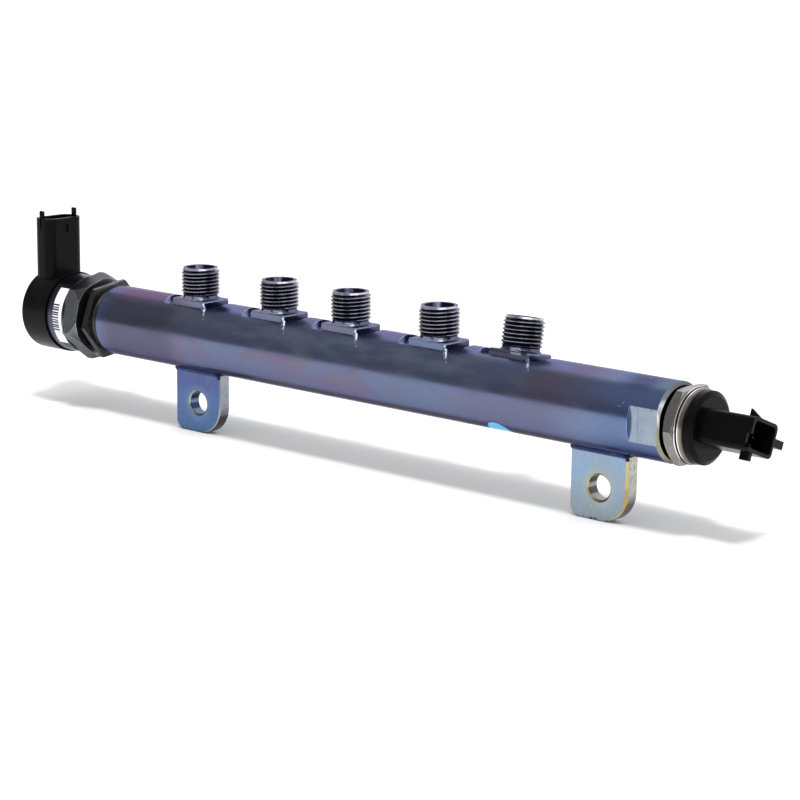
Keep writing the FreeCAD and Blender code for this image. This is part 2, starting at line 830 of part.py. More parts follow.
def valve_seals():
    """The O-ring in the nose's groove and the backup ring beside it."""
    ring = document.addObject("Part::Torus", "oring")
    centre_radius = GROOVE_BOTTOM + " + oring_radius + nose_clearance / 2"
    bind(ring, Radius1=centre_radius, Radius2="oring_radius")
    node(lay_left(ring, "%s + oring_radius + nose_clearance" % GROOVE_START), "valve_nose_oring")

    inner = GROOVE_BOTTOM + " + nose_clearance"
    outer = "nose_bore_radius - nose_clearance"
    backup = turned("backup", [
        (inner, "0"), (outer, "0"), (outer, "backup_ring_width"), (inner, "backup_ring_width")])
    start = "%s + groove_width - backup_ring_width - nose_clearance" % GROOVE_START
    node(lay_left(backup, start), "valve_backup_ring")


def valve_housing():
    """The steel hexagon that the neck is pressed into, with the pole for the coil."""
    corner = "(hex_flats / sqrt(3))"
    hole = "pin_radius + pole_hole_clearance"
    hexagon = hex_bar("housing_hexagon", "hex_flats", "hex_width", "hex_turn")
    head = turned("housing_head", [
        ("neck_radius + press_clearance", "0"),
        ("hex_front_radius", "0"),
        (corner, "hex_front_chamfer"),
        (corner, "hex_width - hex_back_chamfer"),
        ("hex_flats / 2", "hex_width"),
        (hole, "hex_width"),
        (hole, "neck_grip"),
        ("neck_radius + press_clearance", "neck_grip"),
    ])
    collar = turned("housing_pole", [
        (hole, "hex_width - 1"),
        ("pole_radius", "hex_width - 1"),
        ("pole_radius", "hex_width + pole_length"),
        (hole, "hex_width + pole_length"),
    ])
    housing = join("housing", [overlap("housing_flats", head, hexagon), collar])
    return node(lay_left(housing, HEX_FRONT), "valve_housing")


def solenoid():
    """Cup, armature, spring, bobbin, winding, flux ring and can."""
    cup = turned("cup", [
        (CUP_INNER, "0"),
        (CUP_OUTER, "0"),
        (CUP_OUTER, "cup_length"),
        ("0", "cup_length"),
        ("0", "cup_length - cup_end"),
        (CUP_INNER, "cup_length - cup_end"),
    ])
    node(lay_left(cup, HEX_BACK), "valve_core_cup")

    rim = CUP_INNER + " - armature_clearance"
    armature = turned("armature", [
        ("pin_radius", "0"),
        (rim, "0"),
        (rim, "armature_length"),
        ("spring_pocket_radius", "armature_length"),
        ("spring_pocket_radius", "armature_length - spring_pocket_depth"),
        ("0", "armature_length - spring_pocket_depth"),
        ("0", "pin_grip"),
        ("pin_radius", "pin_grip"),
    ])
    node(lay_left(armature, ARMATURE_START), "valve_armature")

    coil_height = "(%s - %s - 2 * spring_wire_radius)" % (SPRING_END, SPRING_START)
    helix = document.addObject("Part::Helix", "spring_path")
    helix.SegmentLength = 1
    bind(helix, Radius="spring_radius", Height=coil_height, Pitch=coil_height + " / spring_turns")
    wire = document.addObject("Part::Circle", "spring_section")
    bind(wire, Radius="spring_wire_radius")
    turn(wire, "x", 90)
    place(wire, x="spring_radius")
    spring = document.addObject("Part::Sweep", "spring")
    spring.Sections = [wire]
    spring.Spine = helix
    spring.Solid = True
    spring.Frenet = True
    node(lay_left(spring, SPRING_START + " + spring_wire_radius"), "valve_spring")

    inner = CUP_OUTER + " + coil_clearance"
    length = "(%s - %s)" % (BOBBIN_END, BOBBIN_START)
    bobbin = turned("bobbin", [
        (inner, "0"),
        (BOBBIN_RIM, "0"),
        (BOBBIN_RIM, "bobbin_flange"),
        (BOBBIN_CORE, "bobbin_flange"),
        (BOBBIN_CORE, length + " - bobbin_flange"),
        (BOBBIN_RIM, length + " - bobbin_flange"),
        (BOBBIN_RIM, length),
        (inner, length),
    ])
    node(lay_left(bobbin, BOBBIN_START), "valve_bobbin")

    outer = BOBBIN_CORE + " + winding_depth"
    turns_length = length + " - 2 * bobbin_flange"
    winding = turned("winding", [
        (BOBBIN_CORE, "0"), (outer, "0"), (outer, turns_length), (BOBBIN_CORE, turns_length)])
    node(lay_left(winding, BOBBIN_START + " + bobbin_flange"), "valve_winding")

    ring = turned("flux_ring", [
        (inner, "0"),
        (BOBBIN_RIM, "0"),
        (BOBBIN_RIM, "flux_ring_width"),
        (inner, "flux_ring_width"),
    ])
    lay_left(ring, BOBBIN_END)
    notch = box("flux_notch", "3 * flux_ring_width", "flux_notch_width", "can_radius",
                "0 - rail_left - %s - 2 * flux_ring_width" % BOBBIN_END,
                "0 - flux_notch_width / 2", "rail_height + flux_notch_bottom")
    node(cut("flux_ring_notched", ring, notch), "valve_flux_ring")

    wall = "can_radius - can_wall"
    can = turned("can", [
        (wall, "0"), ("can_radius", "0"), ("can_radius", "can_length"), (wall, "can_length")])
    node(lay_left(can, HEX_BACK), "valve_can")


def valve_label():
    """A paper label wrapped round part of the can."""
    outer = cylinder("label_outer", "can_radius + label_thickness", "label_width")
    bind(outer, Angle="label_sweep")
    inner = cylinder("label_inner", "can_radius", "label_width")
    bind(inner, Angle="label_sweep")
    strip = cut("label_strip", outer, inner)
    turn(strip, "z", "0 - label_start - label_sweep + 90")
    return node(lay_left(carry("label_wrap", strip), HEX_BACK + " + label_margin"), "valve_label")


def terminal(name, y):
    """A blade in the tower's socket, with a foot that reaches the bobbin."""
    back = "0 - rail_left - tower_offset"
    blade_x = back + " - terminal_thickness / 2"
    blade_y = "%s - terminal_width / 2" % y
    blade_top = "(tower_height - socket_depth + terminal_reach)"
    blade = box(name + "_blade", "terminal_thickness", "terminal_width",
                blade_top + " - terminal_foot", blade_x, blade_y, "rail_height + terminal_foot")
    foot = box(name + "_foot", "tower_offset + terminal_thickness / 2 - %s" % BOBBIN_END,
               "terminal_width", "terminal_thickness", blade_x, blade_y,
               "rail_height + terminal_foot")
    return node(join(name, [blade, foot]), name)


def valve_cap(terminals):
    """The moulded cap: a drum over the can's end and the connector tower on top."""
    drum = turned("cap_drum", [
        ("0", "0"),
        ("cap_radius", "0"),
        ("cap_radius", "cap_length - cap_edge"),
        ("cap_radius - cap_edge", "cap_length"),
        ("0", "cap_length"),
    ])
    lay_left(drum, "cap_start")
    tower_x = "0 - rail_left - tower_offset"
    tower = rounded_bar("tower", "XY_Plane", "tower_depth", "tower_width",
                        "tower_height - tower_root", "tower_corner")
    place(tower, x=tower_x, z="rail_height + tower_root")

    tabs = []
    for name, side in (("tab_front", "0 - "), ("tab_back", "")):
        y = "%srim_tab_offset - rim_tab_thickness / 2" % side
        post_height = "2 * rim_tab_height - rim_tab_thickness / 2"
        post = box(name + "_post", "rim_tab_width", "rim_tab_thickness", post_height,
                   tower_x + " - rim_tab_width / 2", y,
                   "rail_height + tower_height - rim_tab_height")
        dome = cylinder(name + "_dome", "rim_tab_thickness / 2", "rim_tab_width")
        turn(dome, "y", 90)
        place(dome, x=tower_x + " - rim_tab_width / 2", y=side + "rim_tab_offset",
              z="rail_height + tower_height + rim_tab_height - rim_tab_thickness / 2")
        tabs += [post, dome]

    recess = cylinder("cap_recess", "can_radius + press_clearance", "%s - cap_start" % CAN_END)
    lay_left(recess, "cap_start")
    socket = rounded_bar("socket", "XY_Plane", "tower_depth - 2 * socket_wall",
                         "tower_width - 2 * socket_wall", "socket_depth + 1",
                         "tower_corner - socket_wall")
    place(socket, x=tower_x, z="rail_height + tower_height - socket_depth")
    window = box("latch_window", "2 * latch_window_depth", "latch_window_width",
                 "latch_window_height",
                 tower_x + " + tower_depth / 2 - latch_window_depth",
                 "0 - latch_window_width / 2 - latch_window_offset",
                 "rail_height + tower_height - latch_window_drop - latch_window_height")
    groove = box("tab_groove", "tab_groove_width", "2 * tab_groove_depth", "2 * tab_groove_height",
                 tower_x + " - tab_groove_width / 2", "0 - tower_width / 2 - tab_groove_depth",
                 "rail_height + tower_height - tab_groove_height")
    solid = join("cap_solid", [drum, tower] + tabs)
    hollow = join("cap_hollow", [recess, socket, window, groove])
    hollowed = cut("cap_hollowed", solid, hollow)
    seated = cut("cap_seated", hollowed, join("cap_inserts", terminals))
    return node(seated, "valve_cap")


def sensor_body():
    """Threaded steel body with its sealing nose, hexagon and the sensor's cavity."""
    tip = "(%s - sensor_tip_length)" % SEAT_CONE_END

    def from_tip(distance):
        return "%s - %s" % (distance, tip)

    thread = "sensor_thread_radius - thread_clearance"
    shoulder = "(0 - sensor_thread_depth + 2 * thread_clearance)"
    corner = "(sensor_hex_flats / sqrt(3))"
    nose = "(rail_bore_radius + sensor_seat_depth - 2 * thread_clearance)"
    nose_tip = "(rail_bore_radius - sensor_tip_length)"
    stem = turned("sensor_stem", [
        ("sensor_channel_radius", "0"),
        (nose_tip, "0"),
        (nose, from_tip(shoulder)),
        (nose, from_tip("%s + sensor_seat_depth" % shoulder)),
        (thread + " - sensor_seat_depth", from_tip("%s + sensor_seat_depth" % shoulder)),
        (thread, from_tip("%s + 2 * sensor_seat_depth" % shoulder)),
        (thread, from_tip("0 - sensor_thread_end")),
        ("sensor_neck_radius", from_tip("0 - sensor_thread_end")),
        ("sensor_neck_radius", from_tip("sensor_hex_gap + sensor_hex_width / 2")),
        ("sensor_channel_radius", from_tip("sensor_hex_gap + sensor_hex_width / 2")),
    ])
    lay_right(stem, tip)

    head = turned("sensor_head", [
        ("sensor_channel_radius", "0"),
        ("sensor_hex_flats / 2 - sensor_hex_chamfer", "0"),
        (corner, "3 * sensor_hex_chamfer"),
        (corner, "sensor_hex_width - sensor_hex_chamfer"),
        ("sensor_hex_flats / 2", "sensor_hex_width"),
        ("sensor_channel_radius", "sensor_hex_width"),
    ])
    hexagon = hex_bar("sensor_hexagon", "sensor_hex_flats", "sensor_hex_width",
                      "sensor_hex_turn")
    flats = overlap("sensor_flats", head, hexagon)
    lay_right(flats, "sensor_hex_gap")

    platform = "shell_inner_radius - shell_fit"
    collar = turned("sensor_collar", [
        ("sensor_channel_radius", "0"),
        ("sensor_lip_radius", "0"),
        ("sensor_lip_radius", "sensor_lip_width"),
        (platform, "sensor_lip_width"),
        (platform, "%s - %s" % (BODY_END, SENSOR_HEX_BACK)),
        ("sensor_channel_radius", "%s - %s" % (BODY_END, SENSOR_HEX_BACK)),
    ])
    lay_right(collar, SENSOR_HEX_BACK)

    cavity = turned("sensor_cavity", [
        ("0", "0"),
        ("cavity_radius", "0"),
        ("cavity_radius", "cavity_depth"),
        ("board_radius + shell_fit", "cavity_depth"),
        ("board_radius + shell_fit", "cavity_depth + board_thickness + 1"),
        ("0", "cavity_depth + board_thickness + 1"),
    ])
    lay_right(cavity, CAVITY_FLOOR)
    solid = join("sensor_solid", [stem, flats, collar])
    return node(cut("sensor_hollow", solid, cavity), "sensor_body")


def sensor_inside():
    """Pressure element, board, contacts, crimped shell and seal."""
    element = turned("element", [
        ("membrane_radius", "0"),
        ("element_radius", "0"),
        ("element_radius", "element_height / 3"),
        ("element_radius * 0.7", "element_height / 2"),
        ("element_radius * 0.7", "element_height"),
        ("0", "element_height"),
        ("0", "element_height - membrane_thickness"),
        ("membrane_radius", "element_height - membrane_thickness"),
    ])
    node(lay_right(element, CAVITY_FLOOR), "sensor_element")

    board = turned("board", [
        ("0", "0"), ("board_radius", "0"), ("board_radius", "board_thickness"),
        ("0", "board_thickness")])
    node(lay_right(board, BOARD_SEAT), "sensor_board")

    height = "(%s - %s)" % (POCKET_FLOOR, BOARD_TOP)
    contacts = []
    for name, side in (("front", "0 - pin_pitch"), ("middle", "0"), ("back", "pin_pitch")):
        contact = turned("contact_" + name, [
            ("0", "0"),
            ("contact_radius", "0"),
            ("contact_radius", height + " / 3"),
            ("contact_radius + contact_collar", height + " / 3"),
            ("contact_radius + contact_collar", height + " / 2"),
            ("contact_radius", height + " / 2"),
            ("contact_radius", height),
            ("0", height),
        ])
        contacts.append(place(contact, y=side))
    group = document.addObject("Part::Compound", "contact_group")
    group.Links = contacts
    turn(group, "z", "0 - plug_roll")
    node(lay_right(carry("contact_row", group), BOARD_TOP), "sensor_contacts")

    shell = turned("shell", [
        ("shell_inner_radius", "0"),
        ("shell_radius", "0"),
        ("shell_radius", "shell_width / 2"),
        ("shell_end_radius", "shell_width"),
        ("shell_inner_radius", "shell_width"),
    ])
    node(lay_right(shell, SHELL_START), "sensor_shell")

    seal = document.addObject("Part::Torus", "seal")
    bind(seal, Radius1="shell_inner_radius - shell_fit - seal_radius", Radius2="seal_radius")
    node(lay_right(seal, "%s + spigot_length / 2" % SPIGOT_START), "sensor_seal")


def roll(item):
    """Rolls a plug piece about the rail's axis, which runs through its origin."""
    turn(item, "x", "0 - plug_roll")
    return place(item, z="rail_height")


def sensor_pin(name, y):
    """One straight contact pin, from the sensor's inside to the plug's socket."""
    start = "rail_right + " + POCKET_FLOOR
    length = "%s + pin_reach - %s" % (SOCKET_FLOOR, POCKET_FLOOR)
    blade = box(name + "_blade", length, "pin_width", "pin_thickness",
                start, "%s - pin_width / 2" % y, "0 - pin_thickness / 2")
    return node(roll(carry(name, blade)), name)


def sensor_connector(pins):
    """The moulded connector: disc, spigot and the rolled plug with its latch and ribs."""
    spigot = "shell_inner_radius - shell_fit"
    seal_floor = "shell_inner_radius - 2 * seal_radius - 2 * shell_fit"
    groove_start = "(spigot_length / 2 - seal_radius - shell_fit)"
    groove_end = "(spigot_length / 2 + seal_radius + shell_fit)"
    disc = turned("disc", [
        ("spigot_pocket_radius", "0"),
        (spigot, "0"),
        (spigot, groove_start),
        (seal_floor, groove_start),
        (seal_floor, groove_end),
        (spigot, groove_end),
        (spigot, "spigot_length"),
        ("disc_radius", "spigot_length"),
        ("disc_radius", "spigot_length + disc_width"),
        ("disc_face_radius", "spigot_length + disc_width + disc_slope"),
        ("0", "spigot_length + disc_width + disc_slope"),
        ("0", "spigot_pocket_depth"),
        ("spigot_pocket_radius", "spigot_pocket_depth"),
    ])
    lay_right(disc, SPIGOT_START)

    root = "rail_right + %s - disc_slope" % DISC_FACE
    mouth = "rail_right + " + MOUTH
    bar = rounded_bar("plug_bar", "YZ_Plane", "plug_width", "plug_height",
                      "%s - %s + disc_slope" % (MOUTH, DISC_FACE), "plug_corner")
    place(bar, x=root)

    latch = extruded("plug_latch", "XZ_Plane", [
        ("0", "plug_height / 2 - 0.5"),
        ("latch_length", "plug_height / 2 - 0.5"),
        ("latch_length", "plug_height / 2"),
        ("latch_length * 0.08", "plug_height / 2 + latch_height"),
        ("0", "plug_height / 2 + latch_height"),
    ], "latch_width", midplane=True)
    place(latch, x=mouth + " - latch_setback - latch_length", y="0 - latch_offset")

    lower_rib = box("lower_rib", "lower_rib_length", "lower_rib_width", "lower_rib_height + 1",
                    mouth + " - lower_rib_setback - lower_rib_length",
                    "0 - lower_rib_offset - lower_rib_width / 2",
                    "0 - plug_height / 2 - lower_rib_height")
    side_rib = box("side_rib", "side_rib_length", "side_rib_reach + 1", "side_rib_height",
                   mouth + " - side_rib_setback - side_rib_length", "plug_width / 2 - 1",
                   "0 - side_rib_height / 2")
    outside = join("plug_outside", [bar, latch, lower_rib, side_rib])

    socket = rounded_bar("plug_socket", "YZ_Plane", "plug_width - 2 * plug_wall",
                         "plug_height - 2 * plug_wall", "plug_socket_depth + 1",
                         "plug_corner - plug_wall / 2")
    place(socket, x=mouth + " - plug_socket_depth")
    key_rib = box("key_rib", "key_rib_length + 1", "key_rib_depth + plug_wall", "key_rib_height",
                  mouth + " - plug_socket_depth - 1", "0 - plug_width / 2",
                  "0")
    hollow = cut("plug_hollow", socket, key_rib)
    step = box("mouth_step_cut", "mouth_step + 1", "plug_wall + 1", "plug_height / 2 - plug_wall",
               mouth + " - mouth_step", "0 - plug_width / 2 - 1", "plug_wall - plug_height / 2")
    plug = cut("plug", outside, join("plug_cuts", [hollow, step]))
    roll(plug)
    moulding = join("moulding", [disc, plug])
    return node(cut("moulding_seated", moulding, join("plug_inserts", pins)), "sensor_connector")


rail_body()
for side, x in (("left", "0 - bolt_spacing / 2"), ("right", "bolt_spacing / 2")):
    bracket(side, x)
    bracket_weld(side, x)
union_nut()
valve_body()
valve_seat()
valve_ball()
valve_pin()
valve_seals()
valve_housing()
solenoid()
valve_label()
valve_cap([terminal("valve_terminal_front", "0 - terminal_pitch / 2"),
           terminal("valve_terminal_back", "terminal_pitch / 2")])
sensor_body()
sensor_inside()
sensor_connector([sensor_pin("sensor_terminal_front", "0 - pin_pitch"),
                  sensor_pin("sensor_terminal_middle", "0"),
                  sensor_pin("sensor_terminal_back", "pin_pitch")])
document.recompute()

failed = [item.Name for item in document.Objects if {"Invalid", "Error"} & set(item.State)]
if failed:
    raise RuntimeError("these objects failed: " + ", ".join(failed))
for item in nodes:
    if item.Shape.isNull() or not item.Shape.isValid() or not item.Shape.Solids:
        raise RuntimeError("this sub-part has no valid solid: " + item.Label)

os.makedirs("parts", exist_ok=True)
for item in nodes:
    item.Shape.exportStep("parts/%s.step" % item.Label)
    print(item.Label, len(item.Shape.Solids), "solid(s),", round(item.Shape.Volume, 1), "mm3")
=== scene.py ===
"""Looks of the fuel rail: materials, union threads, the valve's spring, floor, light, camera."""
import json
import math

import bmesh
import bpy
from mathutils import Matrix, Vector


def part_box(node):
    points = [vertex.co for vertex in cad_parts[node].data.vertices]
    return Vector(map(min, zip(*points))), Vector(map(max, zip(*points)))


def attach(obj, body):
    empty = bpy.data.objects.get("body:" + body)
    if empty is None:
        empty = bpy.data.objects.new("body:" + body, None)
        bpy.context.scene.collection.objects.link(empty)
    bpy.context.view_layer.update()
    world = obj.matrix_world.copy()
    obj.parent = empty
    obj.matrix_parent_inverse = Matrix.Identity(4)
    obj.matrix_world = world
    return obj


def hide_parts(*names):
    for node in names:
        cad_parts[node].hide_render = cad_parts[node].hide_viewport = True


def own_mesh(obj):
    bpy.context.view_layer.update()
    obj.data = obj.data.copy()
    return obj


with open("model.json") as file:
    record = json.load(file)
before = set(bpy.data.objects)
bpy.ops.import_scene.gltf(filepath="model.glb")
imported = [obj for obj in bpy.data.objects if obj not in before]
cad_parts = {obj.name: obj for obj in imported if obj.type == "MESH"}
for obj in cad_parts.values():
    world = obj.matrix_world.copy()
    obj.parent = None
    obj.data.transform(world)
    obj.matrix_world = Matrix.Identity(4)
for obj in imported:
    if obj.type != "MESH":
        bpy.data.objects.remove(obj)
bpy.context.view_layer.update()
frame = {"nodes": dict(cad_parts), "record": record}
nodes = frame["nodes"]
scene = bpy.context.scene
MM = 0.001

# Places and sizes of the object, worked out from the frame, in millimetres
mounts = {mount["name"]: mount for mount in frame["record"]["mounts"]}
rail_low, rail_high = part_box("rail_body")
bracket_low, bracket_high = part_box("bracket_right")
TUBE_RADIUS = rail_high[1] / MM
RAIL_HEIGHT = rail_low[2] / MM + TUBE_RADIUS
RAIL_RIGHT = rail_high[0] / MM
BOLT_REACH = mounts["bolt_holes"]["dims"]["spacing_x_mm"] / 2
HOLE_RADIUS = mounts["bolt_holes"]["dims"]["hole_r_mm"]
BRACKET_HALF = bracket_high[0] / MM - BOLT_REACH
BRACKET_LOW = bracket_low[2] / MM
BRACKET_CORNER = 12.0
PAD_FLOOR = RAIL_HEIGHT + 12.8
PAD_TOP = RAIL_HEIGHT + 15.7
NECK_TOP = PAD_TOP + 1.5
STUB_RIM = RAIL_HEIGHT + 26.5
FLAT_START = RAIL_RIGHT - 13.0
FLAT_REACH = 13.5

# Union ports on the rail: place along it in millimetres, and tilt about it in radians
ports = [mount for name, mount in mounts.items() if name.startswith("port_")]
STATIONS = [(port["pos_m"][0] / MM, math.atan2(port["axis"][1], port["axis"][2])) for port in ports]


class Graph:
    """A node tree and the helpers that materials and surroundings share."""

    def __init__(self, tree):
        self.tree = tree
        self.coordinates = self.node("TexCoord").outputs

    def node(self, kind, **settings):
        node = self.tree.nodes.new("ShaderNode" + kind)
        for name, value in settings.items():
            setattr(node, name, value)
        return node

    def put(self, socket, value):
        """Links a socket to the input, or writes a plain value there."""
        if isinstance(value, bpy.types.NodeSocket):
            self.tree.links.new(value, socket)
        elif isinstance(value, (tuple, list)) and len(value) == 3 and len(socket.default_value) == 4:
            socket.default_value = (*value, 1.0)
        else:
            socket.default_value = value

    def math(self, operation, first, second=0.0, third=0.0):
        node = self.node("Math", operation=operation)
        for socket, value in zip(node.inputs, (first, second, third)):
            self.put(socket, value)
        return node.outputs[0]

    def split(self, vector):
        """The three parts of a vector."""
        node = self.node("SeparateXYZ")
        self.put(node.inputs[0], vector)
        return node.outputs

    def dot(self, first, second):
        """The dot product of two vectors."""
        node = self.node("VectorMath", operation="DOT_PRODUCT")
        self.put(node.inputs[0], first)
        self.put(node.inputs[1], second)
        return node.outputs["Value"]

    def ramp(self, value, low, high, start=0.0, end=1.0):
        """Smooth step of a value, from one output to another."""
        node = self.node("MapRange", interpolation_type="SMOOTHSTEP")
        for name, number in zip(("Value", "From Min", "From Max", "To Min", "To Max"),
                                (value, low, high, start, end)):
            self.put(node.inputs[name], number)
        return node.outputs["Result"]

    def blend(self, factor, first, second):
        """The first colour where the factor is nought, the second where it is one."""
        node = self.node("Mix", data_type="RGBA")
        self.put(node.inputs["Factor"], factor)
        self.put(node.inputs[6], first)
        self.put(node.inputs[7], second)
        return node.outputs[2]


class Paint(Graph):
    """A procedural material with its colour so far. Lengths are in millimetres."""

    SMOOTHING_SAMPLES = 6

    def __init__(self, name, colour=None):
        self.material = bpy.data.materials.new(name)
        self.material.use_nodes = True
        super().__init__(self.material.node_tree)
        self.shader = self.tree.nodes["Principled BSDF"]
        self.normal = None
        self.colour = colour

    def set(self, name, value):
        self.put(self.shader.inputs[name], value)

    def over(self, mask, tint, share=1.0):
        """Lays a tint over the colour so far, as strongly as the mask and the share say."""
        if share < 1.0:
            mask = self.math("MULTIPLY", mask, share)
        self.colour = self.blend(mask, self.colour, tint)
        self.set("Base Color", self.colour)

    def axes(self):
        """The place along each axis of the object."""
        scaled = self.node("VectorMath", operation="SCALE")
        self.put(scaled.inputs[0], self.coordinates["Object"])
        self.put(scaled.inputs["Scale"], 1.0 / MM)
        return self.split(scaled.outputs[0])

    def facing(self):
        """The surface's own direction, part by part."""
        return self.split(self.coordinates["Normal"])

    def attribute(self, name):
        """A value that the mesh carries at its corners."""
        return self.node("Attribute", attribute_name=name).outputs["Fac"]

    def both(self, *masks):
        """The product of masks."""
        result = masks[0]
        for mask in masks[1:]:
            result = self.math("MULTIPLY", result, mask)
        return result

    def either(self, *masks):
        """The sum of masks that don't meet."""
        result = masks[0]
        for mask in masks[1:]:
            result = self.math("ADD", result, mask)
        return result

    def inverse(self, mask):
        return self.ramp(mask, 1.0, 0.0)

    def band(self, value, centre, half, soft):
        """One inside a band of the value, nought outside it."""
        distance = self.math("ABSOLUTE", self.past(value, centre))
        return self.ramp(distance, half, half + soft, 1.0, 0.0)

    def past(self, value, origin):
        return self.math("SUBTRACT", value, origin)

    def away(self, *offsets):
        """The length of a vector given by its parts."""
        total = 0.0
        for offset in offsets:
            total = self.math("MULTIPLY_ADD", offset, offset, total)
        return self.math("SQRT", total)

    def from_bolt(self, along):
        """Distance from the nearer bracket hole: outwards, and to the right."""
        outwards = self.past(self.math("ABSOLUTE", along), BOLT_REACH)
        return outwards, self.math("MULTIPLY", outwards, self.math("SIGN", along))

    def beside_ports(self, line, offset, half, soft=0.4):
        """One in a band beside every port, nought elsewhere."""
        return self.either(*[self.band(line, x + offset, half, soft) for x, tilt in STATIONS])

    def hollow(self, reach):
        """One deep in inner corners, nought on open faces and outer edges."""
        node = self.node("AmbientOcclusion", samples=self.SMOOTHING_SAMPLES)
        self.put(node.inputs["Distance"], reach * MM)
        return self.ramp(node.outputs["AO"], 0.55, 0.92, 1.0, 0.0)

    def rounded(self, radius):
        """The surface's direction with its edges rounded."""
        node = self.node("Bevel", samples=self.SMOOTHING_SAMPLES)
        self.put(node.inputs["Radius"], radius * MM)
        return node.outputs["Normal"]

    def corners(self, radius):
        """One along outer edges, nought on open faces."""
        alike = self.dot(self.rounded(radius), self.node("NewGeometry").outputs["Normal"])
        open_places = self.ramp(self.hollow(2.0 * radius), 0.0, 0.5, 1.0, 0.0)
        return self.both(self.ramp(alike, 0.90, 0.99, 1.0, 0.0), open_places)

    def stretched(self, scale):
        """The place scaled unevenly, for streaks."""
        node = self.node("Mapping")
        self.put(node.inputs["Vector"], self.coordinates["Object"])
        self.put(node.inputs["Scale"], scale)
        return node.outputs[0]

    def noise(self, size, detail=3.0, stretch=None, roughness=0.55, distortion=0.0):
        """Noise whose features are about that wide."""
        node = self.node("TexNoise")
        self.put(node.inputs["Scale"], 1.0 / (size * MM))
        self.put(node.inputs["Detail"], detail)
        self.put(node.inputs["Roughness"], roughness)
        self.put(node.inputs["Distortion"], distortion)
        place = self.stretched(stretch) if stretch else self.coordinates["Object"]
        self.put(node.inputs["Vector"], place)
        return node.outputs["Fac"]

    def cells(self, size):
        """Distance from the nearest of scattered points, as a share of their spacing."""
        node = self.node("TexVoronoi")
        self.put(node.inputs["Scale"], 1.0 / (size * MM))
        self.put(node.inputs["Vector"], self.coordinates["Object"])
        return node.outputs["Distance"]

    def bump(self, height, depth):
        """Adds a relief of that depth."""
        node = self.node("Bump")
        self.put(node.inputs["Strength"], 1.0)
        self.put(node.inputs["Distance"], depth * MM)
        self.put(node.inputs["Height"], height)
        if self.normal:
            self.put(node.inputs["Normal"], self.normal)
        self.normal = node.outputs["Normal"]
        self.set("Normal", self.normal)

    def soften_edges(self, radius):
        """Rounds the hard edges a little in the shading."""
        self.normal = self.rounded(radius)
        self.set("Normal", self.normal)


def times(colour, factor):
    return tuple(factor * part for part in colour)


def steel(name, colour, dark, roughness, edge_wear_and_highlight=None, under=None):
    """Bare or coated steel with a fine grain, blotches, small dark specks and lighter edges, partly wear
    and partly painted highlight; given an under colour, also painted shade on faces turned down and up.
    """
    paint = Paint(name, colour)
    paint.soften_edges(0.15)
    paint.over(paint.ramp(paint.noise(7.0, 4.0), 0.35, 0.65), times(colour, 0.78))
    brushed = paint.ramp(paint.noise(1.2, 3.0, stretch=(2.5, 0.4, 0.4)), 0.35, 0.65)
    paint.over(brushed, times(colour, 1.5), 0.35)
    specks = paint.ramp(paint.noise(0.9, 4.0, roughness=0.7), 0.63, 0.75)
    paint.over(specks, dark, 0.35)
    # Lighter outer edges: partly wear, partly painted highlight.
    if edge_wear_and_highlight:
        scuffed = paint.ramp(paint.noise(1.5, 4.0), 0.30, 0.55, 0.25, 0.9)
        paint.over(paint.both(paint.corners(0.45), scuffed), edge_wear_and_highlight)
    if under:
        out_z = paint.facing()[2]
        # Painted shade: faces turned down take the under colour, and faces turned up are darkened.
        paint.over(paint.ramp(out_z, -0.20, -0.45), under)
        paint.over(paint.ramp(out_z, 0.35, 0.60, 0.0, 0.6), dark)
    grain = paint.noise(0.3, 3.0)
    paint.set("Metallic", 1.0)
    paint.set("Roughness", paint.ramp(grain, 0.3, 0.7, roughness * 0.8, roughness * 1.25))
    paint.bump(grain, 0.01)
    return paint


def plastic(name, colour, roughness, shine=0.3):
    """Moulded plastic with a fine spark-eroded texture and light handling wear."""
    paint = Paint(name, colour)
    paint.soften_edges(0.25)
    haze = paint.ramp(paint.noise(6.0, 5.0), 0.4, 0.7)
    paint.over(haze, times(colour, 1.5))
    rubbed = paint.both(paint.corners(0.5), paint.ramp(paint.noise(3.0, 4.0), 0.35, 0.65, 0.1, 0.6))
    paint.over(rubbed, tuple(2.5 * part + 0.004 for part in colour))
    paint.set("Roughness", paint.ramp(haze, 0.0, 1.0, roughness, roughness * 1.15))
    paint.set("Specular IOR Level", shine)
    paint.bump(paint.noise(0.35, 4.0, roughness=0.6), 0.02)
    return paint


